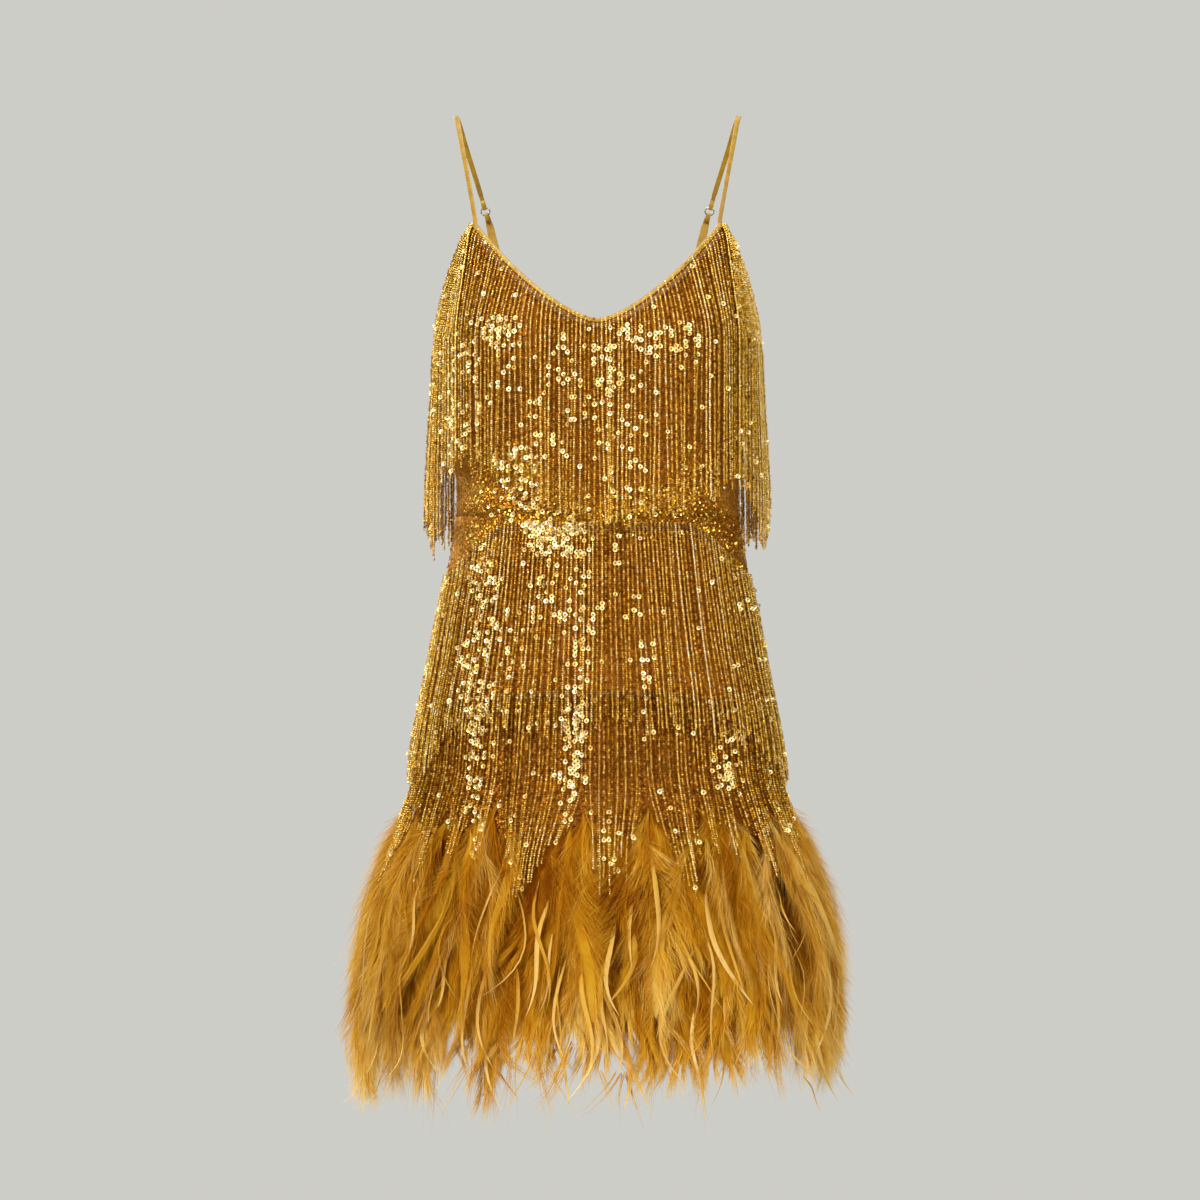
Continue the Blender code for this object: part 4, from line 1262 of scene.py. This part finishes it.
def plume_frames(plumes, flare):
    """Each feather's shaft points, the way that its vane spreads there, and the way that it faces."""
    share = SHAFT_SHARE[None, :]
    z = plumes.z[:, None] - plumes.length[:, None] * share
    angle = plumes.angle[:, None]
    base = radius(angle, z) + flare_out(flare, angle, z)
    bend = np.sin(share * math.pi) + 0.6 * np.sin(share * 2 * math.pi)
    curl = plumes.lean[:, None] * (0.2 * share + 0.8 * share ** 2) + plumes.bow[:, None] * bend
    angle = angle + np.degrees(curl / base)
    out = flare_out(flare, angle, z) + plumes.off[:, None] * smooth_step(0.12, 0.6, share)
    shaft = off_form(angle, z, out)
    along = unit(np.gradient(shaft, axis=1))
    flat = unit(np.cross(along, at_angle(angle, 1.0, 0.0)))
    roll = (plumes.roll[:, None] * (0.3 + 0.9 * SHAFT_SHARE))[..., None]
    side = flat * np.cos(roll) + np.cross(flat, along) * np.sin(roll)
    return shaft, side, np.cross(side, along)


def plume_half_width(share, width):
    """A flame's outline: soon wide, then drawn to a point."""
    share = np.clip(share, 0, 1)
    return width * 2.36 * share ** 0.62 * (1 - share) ** 0.62


def along_rows(values, share):
    """Values at a share of the way along each row, and straight on past the end."""
    position = share * (values.shape[1] - 1)
    k = np.clip(np.floor(position).astype(int), 0, values.shape[1] - 2)
    t = (position - k)[..., None]
    rows = np.arange(values.shape[0]).reshape(-1, *[1] * (share.ndim - 1))
    return values[rows, k] * (1 - t) + values[rows, k + 1] * t


def add_plumes(pile, plumes, flare, barbs, random):
    """Feathers with a shaft, a soft vane and loose barbs past the vane's edges."""
    shaft, side, face = plume_frames(plumes, flare)
    at_side = smooth_step(38, 84, off_sides(plumes.angle))
    # Painted light toward the sides
    plumes = plumes._replace(tone=plumes.tone + SIDE_PAINTED_LIGHT * at_side)
    # Painted shade darkens each feather toward its root.
    root_shade = -barbs.dark_root * (1 - smooth_step(0.0, 0.42, SHAFT_SHARE))
    by_share = root_shade + barbs.pale_tip * smooth_step(0.5, 1.0, SHAFT_SHARE)
    add_vanes(pile, plumes, shaft, side, face, by_share, random)
    add_barbs(pile, plumes, shaft, side, face, by_share, at_side, barbs, random)
    outward = unit(shaft * np.array([1, 1, 0]))
    edge = np.cross(unit(np.gradient(shaft, axis=1)), outward)
    width = np.linspace(0.45, 0.12, SHAFT_STEPS)[None, :, None]
    points = np.stack([shaft - edge * width, shaft + outward * width * 1.6, shaft + edge * width], axis=2)
    pile.add(points, strip_faces(SHAFT_STEPS, 3), plumes.tone + SHAFT_TONE)


def add_vanes(pile, plumes, shaft, side, face, by_share, random):
    count = len(plumes.angle)
    half = plume_half_width(SHAFT_SHARE[None], plumes.width[:, None]) * VANE_SHARE
    ripple = np.sin(SHAFT_SHARE[None] * 9 + random.uniform(0, 6, (count, 1))) * RIPPLE
    across = VANE_ACROSS[None, None, :, None]
    vane = (shaft[:, :, None] + side[:, :, None] * half[..., None, None] * across
            - face[:, :, None] * (half[..., None, None] * VANE_CUP * across ** 2)
            + face[:, :, None] * (ripple[..., None, None] * across))
    at_edge = np.abs(VANE_ACROSS)[None, None]
    # The vane is painted a little darker, as shade under its barbs, with less of it toward its edges.
    tone = plumes.tone[:, None, None] + by_share[None, :, None] - 0.03 + 0.02 * at_edge
    started = random.uniform(0, 400, (count, 1, 1))
    travelled = SHAFT_SHARE[None, :, None] * plumes.length[:, None, None]
    grain = started + travelled - BARB_DOWN * at_edge * half[..., None]
    pile.add(np.clip(vane, LOW, HIGH), strip_faces(SHAFT_STEPS, len(VANE_ACROSS)), tone, grain=grain)


def add_barbs(pile, plumes, shaft, side, face, by_share, at_side, barbs, random):
    shape = (len(plumes.angle), barbs.count)
    order = np.arange(barbs.count)[None, :]
    root = barbs.first + (0.98 - barbs.first) * (order + random.uniform(0, 1, shape)) / barbs.count
    reach = random.uniform(*BARB_LENGTHS, shape) / plumes.length[:, None]
    hand = np.where(order % 2 == 0, 1.0, -1.0)
    at = root[..., None] + reach[..., None] * BARB_TIMES
    base, sideways, facing = (along_rows(values, np.clip(at, 0, limit))
                              for values, limit in ((shaft, 1.3), (side, 1.0), (face, 1.0)))
    width = plumes.width[:, None, None]
    open_out = np.maximum(plume_half_width(at, width), TIP_SPREAD * width * (0.4 + BARB_TIMES))
    inner = random.uniform(0.0, 0.42, (*shape, 1))
    outer = random.uniform(0.5, 1.25, (*shape, 1))
    lateral = hand[..., None] * open_out * (inner + (outer - inner) * BARB_TIMES ** 0.72)
    lift = random.normal(0.8, 2.8, (*shape, 1)) * (1 + 1.1 * at_side[:, None, None]) * BARB_TIMES + 0.4
    curled = CURL_BACK * lateral ** 2 / width * smooth_step(0.1, 0.5, at)
    path = base + sideways * lateral[..., None] + facing * (lift - curled)[..., None]
    path = path.reshape(-1, len(BARB_TIMES), 3)
    run = unit(path[:, 2] - path[:, 0])
    looking = facing[:, :, 0].reshape(-1, 3) + random.normal(0, 0.28, run.shape)
    wide = unit(np.cross(run, looking)) * BARB_WIDTH / 2
    points = np.stack([path[:, 0], path[:, 1] - wide, path[:, 1] + wide, path[:, 2]], axis=1)
    tone = plumes.tone[:, None] + random.normal(0.0, BARB_TONE_SPREAD, shape)
    tone = tone + np.interp(root, SHAFT_SHARE, by_share)
    # Painted shade where barbs curl back, less of it at the sides
    tone = tone - CURL_PAINTED_SHADE * curled.max(axis=2) * (1 - at_side[:, None])
    pile.add(np.clip(points, LOW, HIGH), BARB_FACES, tone.reshape(-1, 1) + ALONG_BARB_PAINTED_LIGHT[None])


def scatter_blades(angle, z, lengths, lowest, lean, offs, aways, widths, tone, random):
    """Blades at some roots. Their other values are drawn between low and high ones, or about a mean."""
    count = len(angle)
    length = np.minimum(random.uniform(*lengths, count), z - lowest)
    return Blades(
        angle, z, length, random.normal(0, lean, count), random.uniform(*offs, count),
        random.uniform(*aways, count) if aways else np.zeros(count), random.uniform(*widths, count),
        random.uniform(-1.2, 1.2, count), tones(random, tone, 0.10, count))


def add_blades(pile, blades, flare, random):
    """Long narrow glossy feathers that curve aside over the fluffy ones."""
    count = len(blades.angle)
    angle, start, length, lean, off, away, width, twist, tone = (values[:, None] for values in blades)
    share = np.linspace(0, 1, BLADE_STEPS)[None, :]
    bow = random.normal(0, 0.12, (count, 1)) * np.sin(share * math.pi)
    bow = bow + random.normal(0, 0.022, (count, 1)) * np.sin(share * 2 * math.pi)
    bow = lean * share ** 1.7 + bow * length
    z = start - length * (share - 0.06 * share ** 3)
    out = flare_out(flare, angle, z) + off * smooth_step(0, 0.3, share) + away * share ** 2
    path = off_form(angle + np.degrees(bow / (radius(angle, z) + out)), z, out)
    outward = unit(path * np.array([1, 1, 0]))
    along = unit(np.gradient(path, axis=1))
    roll = (twist * share ** 1.5)[..., None]
    across = np.cross(along, outward) * np.cos(roll) + outward * np.sin(roll)
    half = (width / 2 * np.sin(math.pi * np.clip(share, 0.02, 0.995) ** 0.62) ** 0.75)[..., None]
    crown = np.cross(across, along) * half * 0.3
    points = np.clip(np.stack([path - across * half, path + crown, path + across * half], axis=2), LOW, HIGH)
    grain = share[..., None] * length[..., None] - BARB_DOWN * np.abs(VANE_ACROSS) * half
    shade = tone + np.repeat(0.30 * share - 0.16, 3, axis=1)
    pile.add(points, strip_faces(BLADE_STEPS, 3), shade, 1, grain)


def add_tufts(pile, turn, highest, flare, random):
    """Thin curling ends that stand off the mass: some hairs from one place, fanning a little."""
    count, hairs = TUFTS, TUFTS * HAIRS_A_TUFT
    scattered = lambda low, high: random.uniform(low, high, count)[:, None]
    angle = turn + (np.arange(count) + random.uniform(0, 1, count)) / count * 176 - 88
    z = random.uniform(TUFT_LOW, np.where(np.abs(angle - turn) > 66, highest, TUFT_HIGH), count)
    start = off_form(angle, z, flare_out(flare, angle, z) + random.uniform(-2, 5, count))
    outward = at_angle(angle, 1.0, 0.0)
    aside = np.cross(outward, np.array([0, 0, 1.0])) * random.normal(0, 0.55, count)[:, None]
    begin = outward * scattered(0.0, 0.35) + aside + np.array([0, 0, -1.0])
    bend = outward * scattered(-0.2, 0.55) + aside * scattered(-0.8, 2.2) + np.array([0, 0, -0.8])
    each = lambda values: np.repeat(values, HAIRS_A_TUFT, axis=0)
    start = each(start) + random.normal(0, 1.4, (hairs, 3))
    begin = unit(each(begin) + random.normal(0, 0.06, (hairs, 3)))
    bend = unit(each(bend) + random.normal(0, 0.13, (hairs, 3)))
    size = (each(random.uniform(22, 62, count)) * random.uniform(0.6, 1.1, hairs))[:, None, None]
    t = np.linspace(0, 1, HAIR_STEPS)[None, :, None]
    path = start[:, None] + size * ((t - 0.5 * t ** 2) * begin[:, None] + 0.5 * t ** 2 * bend[:, None])
    thin = np.linspace(0.30, 0.05, HAIR_STEPS)[None, :, None]
    across = unit(np.cross(begin, each(outward)))[:, None] * thin
    tone = each(random.normal(0.46, 0.10, count)) + random.normal(0, 0.06, hairs)
    # Painted shade at each hair's root, paler toward its free end.
    tone = tone[:, None] + np.repeat(np.linspace(-0.10, 0.16, HAIR_STEPS), 2)
    points = np.clip(np.stack([path - across, path + across], axis=2), LOW, HIGH)
    pile.add(points, strip_faces(HAIR_STEPS, 2), tone, 1)


def to_tips(angle, root, tip):
    """Lengths down to a tip level, which is lower at the sides."""
    return root - tip + SIDES_LOWER * np.sin(np.radians(angle)) ** 2


def clumped_plumes(groups, random):
    """Upper feathers: a clump under each parting of the strings, highest in its middle."""
    peaks = np.append(groups[:, 0], groups[-1, 2])
    middles = np.concatenate([peaks[:1], groups[:, 1], peaks[-1:]])
    clumps = []
    for peak, low, high in zip(peaks, middles, middles[1:]):
        count = 2 + round((high - low) / DEGREES_A_FEATHER)
        spots = (np.arange(count) + random.uniform(0.2, 0.8, count)) / count * 2 - 1
        spots[np.argmin(np.abs(spots))] = 0.0
        angle = peak + np.where(spots < 0, (peak - low) * -np.abs(spots), (high - peak) * spots) * 0.62
        clumps.append((angle, np.abs(spots) ** 1.2, spots, np.full(count, random.normal(0, 0.07))))
    angle, depth, aside, tone = np.concatenate(clumps, axis=1)
    angle = np.clip(angle, -EDGE_ANGLE, EDGE_ANGLE)
    count = len(angle)
    root = UPPER_ROOT - PEAK_DROP * depth - random.uniform(0, 7, count)
    return Plumes(
        angle, root, to_tips(angle, root, random.uniform(-782, -708, count)),
        aside * 17 + random.normal(0, 22, count), random.normal(0, 9, count),
        random.uniform(-5, 7, count) - 3 * depth, random.uniform(19, 30, count),
        np.clip(0.67 + tone + random.normal(0, 0.11, count), 0, 1), random.normal(0, 0.45, count))


def even_plumes(count, roots, tips, offs, tone, random):
    """Feathers all along in threes, between low and high values of root, tip and standing off."""
    clumps = count // 3
    by_clump = lambda values: np.repeat(values, 3)
    spots = (np.arange(clumps) + random.uniform(0.3, 0.7, clumps)) / clumps
    middle = by_clump(spots * (2 * EDGE_ANGLE) - EDGE_ANGLE)
    angle = np.clip(middle + random.normal(0, 2.0, count), -EDGE_ANGLE, EDGE_ANGLE)
    root = by_clump(random.uniform(*roots, clumps)) + random.uniform(-6, 6, count)
    tip = by_clump(random.uniform(*tips, clumps)) + random.uniform(-10, 10, count)
    return Plumes(
        angle, root, to_tips(angle, root, tip), random.normal(0, 24, count), random.normal(0, 8, count),
        random.uniform(*offs, count), random.uniform(16, 27, count),
        np.clip(by_clump(random.normal(tone, 0.07, clumps)) + random.normal(0, 0.05, count), 0, 1),
        random.normal(0, 0.5, count))


def either_side(count, low, high, random):
    """Angles beside the dress, left and right in turn."""
    return np.where(np.arange(count) % 2 == 0, 1, -1) * random.uniform(low, high, count)


def side_plumes(count, random):
    """Feathers that fill the sides from the top down."""
    angle = either_side(count, 60, 89, random)
    root = random.uniform(-616, -597, count)
    return Plumes(
        angle, root, to_tips(angle, root, random.uniform(-775, -715, count)), random.normal(0, 14, count),
        random.normal(0, 6, count), random.uniform(-5, 3, count), random.uniform(17, 26, count),
        tones(random, 0.56, 0.08, count), random.normal(0, 0.5, count))


def make_feathers(name, turn, groups, upper, materials, random):
    pile = Pile()
    flare = UPPER_FLARE if upper else LOWER_FLARE

    def grow(plumes, *barbs):
        add_plumes(pile, plumes._replace(angle=plumes.angle + turn), flare, Barbs(*barbs), random)
    if upper:
        count, highest, starts, tone = 54, -660, (-735, -630), 0.58
        grow(clumped_plumes(groups, random), 620, 0.01, 0.00, 0.18)
        grow(side_plumes(20, random), 360, 0.01, 0.10, 0.10)
        # The under feathers get a low tone and dark roots, as painted shade under the feathers above.
        grow(even_plumes(30, (-662, -628), (-765, -725), (-9, -3), 0.29, random), 300, 0.05, 0.22, 0.14)
    else:
        count, highest, starts, tone = 26, -740, (-765, -710), 0.62
        grow(even_plumes(84, (-705, -660), (-824, -780), (-7, 7), 0.52, random), 610, 0.20, 0.25, 0.30)
    start = random.uniform(*starts, count)
    angle = turn + (np.arange(count) + random.uniform(0, 1, count)) / count * 178 - 89
    over = scatter_blades(angle, start, (60, 118), -852, 15, (3, 8), None, (1.6, 5.4), tone, random)
    add_blades(pile, over, flare, random)
    angle = turn + either_side(SIDE_WISPS, 56, 89, random)
    start = random.uniform(highest - 90, highest, SIDE_WISPS)
    wisps = scatter_blades(angle, start, (34, 72), -862, 10, (0, 5), (4, 24), (0.8, 2.4), tone, random)
    add_blades(pile, wisps, flare, random)
    add_tufts(pile, turn, highest, flare, random)
    return pile.make(name, materials)


# The dress

WAIST_BANDS = (("bodice", -286, -351.7), ("skirt", -352.3, -412))


def dress_piece(piece, slot, *nodes):
    """Hides any solids that a piece stands in for. Everything rides on the dress's one body."""
    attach(piece, "root")
    if nodes:
        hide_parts(*nodes)
    return piece


def make_dress():
    random = np.random.default_rng(SEED)
    cloth, beads, sequins, tape, metal = glitter_cloth(), bead_gold(), sequin_gold(), satin(), ring_metal()
    fluff = feather(
        "ochre_feather", 0.8, 0.5, (0.0, (0.13, 0.022, 0.0006)), (0.25, (0.28, 0.068, 0.0008)),
        (0.5, (0.52, 0.210, 0.004)), (0.75, (0.73, 0.42, 0.022)), (1.0, (0.87, 0.65, 0.20)))
    gloss = feather(
        "ochre_quill", 0.6, 0.35, (0.0, (0.34, 0.120, 0.003)), (0.5, (0.60, 0.33, 0.034)),
        (1.0, (0.86, 0.66, 0.26)))
    strings = [beads, sequins, tape_cloth()]
    both_sides = (("front", 0, FRONT_GROUPS), ("back", 180, BACK_GROUPS))

    walls = make_walls(cloth)
    trims = {
        "neck_fringe": make_neck_fringe("fringe_neck", strings, random),
        "arm_fringe": make_arm_fringe("fringe_arm_and_back", strings, random),
    }
    for side, turn, _ in both_sides:
        trims[f"hip_fringe_{side}"] = make_hip_fringe(f"fringe_hip_{side}", turn, strings, random)
    for side, turn, groups in both_sides:
        trims[f"hem_fringe_{side}"] = make_hem_fringe(f"fringe_hem_{side}", turn, groups, strings, random)
    for side, turn, _ in both_sides:
        for part, top, bottom in WAIST_BANDS:
            trims[f"sequins_{part}_{side}"] = make_waist_sequins(
                f"sequins_{part}_{side}", turn - 90, turn + 90, top, bottom, [sequins, beads], random)
    trims["neck_binding"] = binding("binding_neck", np.linspace(-NECK_END, NECK_END, 130), tape)
    arm_line = np.linspace(ARM_START, 360 - ARM_START, 240)
    trims["arm_binding"] = binding("binding_arm_and_back", arm_line, tape)
    trims |= make_straps(tape, metal)
    for side, turn, groups in both_sides:
        for row in ("upper", "lower"):
            trims[f"plume_{row}_{side}"] = make_feathers(
                f"feathers_{row}_{side}", turn, groups, row == "upper", [fluff, gloss], random)

    slots = {"fringe": "gold_beads", "plume": "ochre_feather", "ring": "ring_metal"}
    for node, piece in trims.items():
        if node.startswith("sequins"):
            dress_piece(piece, "gold_beads")
        else:
            slot = next((slots[word] for word in slots if word in node.split("_")), "ochre_satin")
            dress_piece(piece, slot, node)

    for node, (piece, flat, area) in walls.items():
        dress_piece(piece, "gold_sequin_cloth", node)


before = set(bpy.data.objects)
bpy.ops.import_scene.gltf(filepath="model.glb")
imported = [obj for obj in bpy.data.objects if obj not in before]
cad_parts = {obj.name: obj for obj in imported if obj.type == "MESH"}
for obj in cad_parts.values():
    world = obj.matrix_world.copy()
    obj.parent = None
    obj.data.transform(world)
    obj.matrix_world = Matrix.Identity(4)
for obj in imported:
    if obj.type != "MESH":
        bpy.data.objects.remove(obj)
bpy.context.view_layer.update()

place_camera()
light_scene()
make_floor()
make_dress()
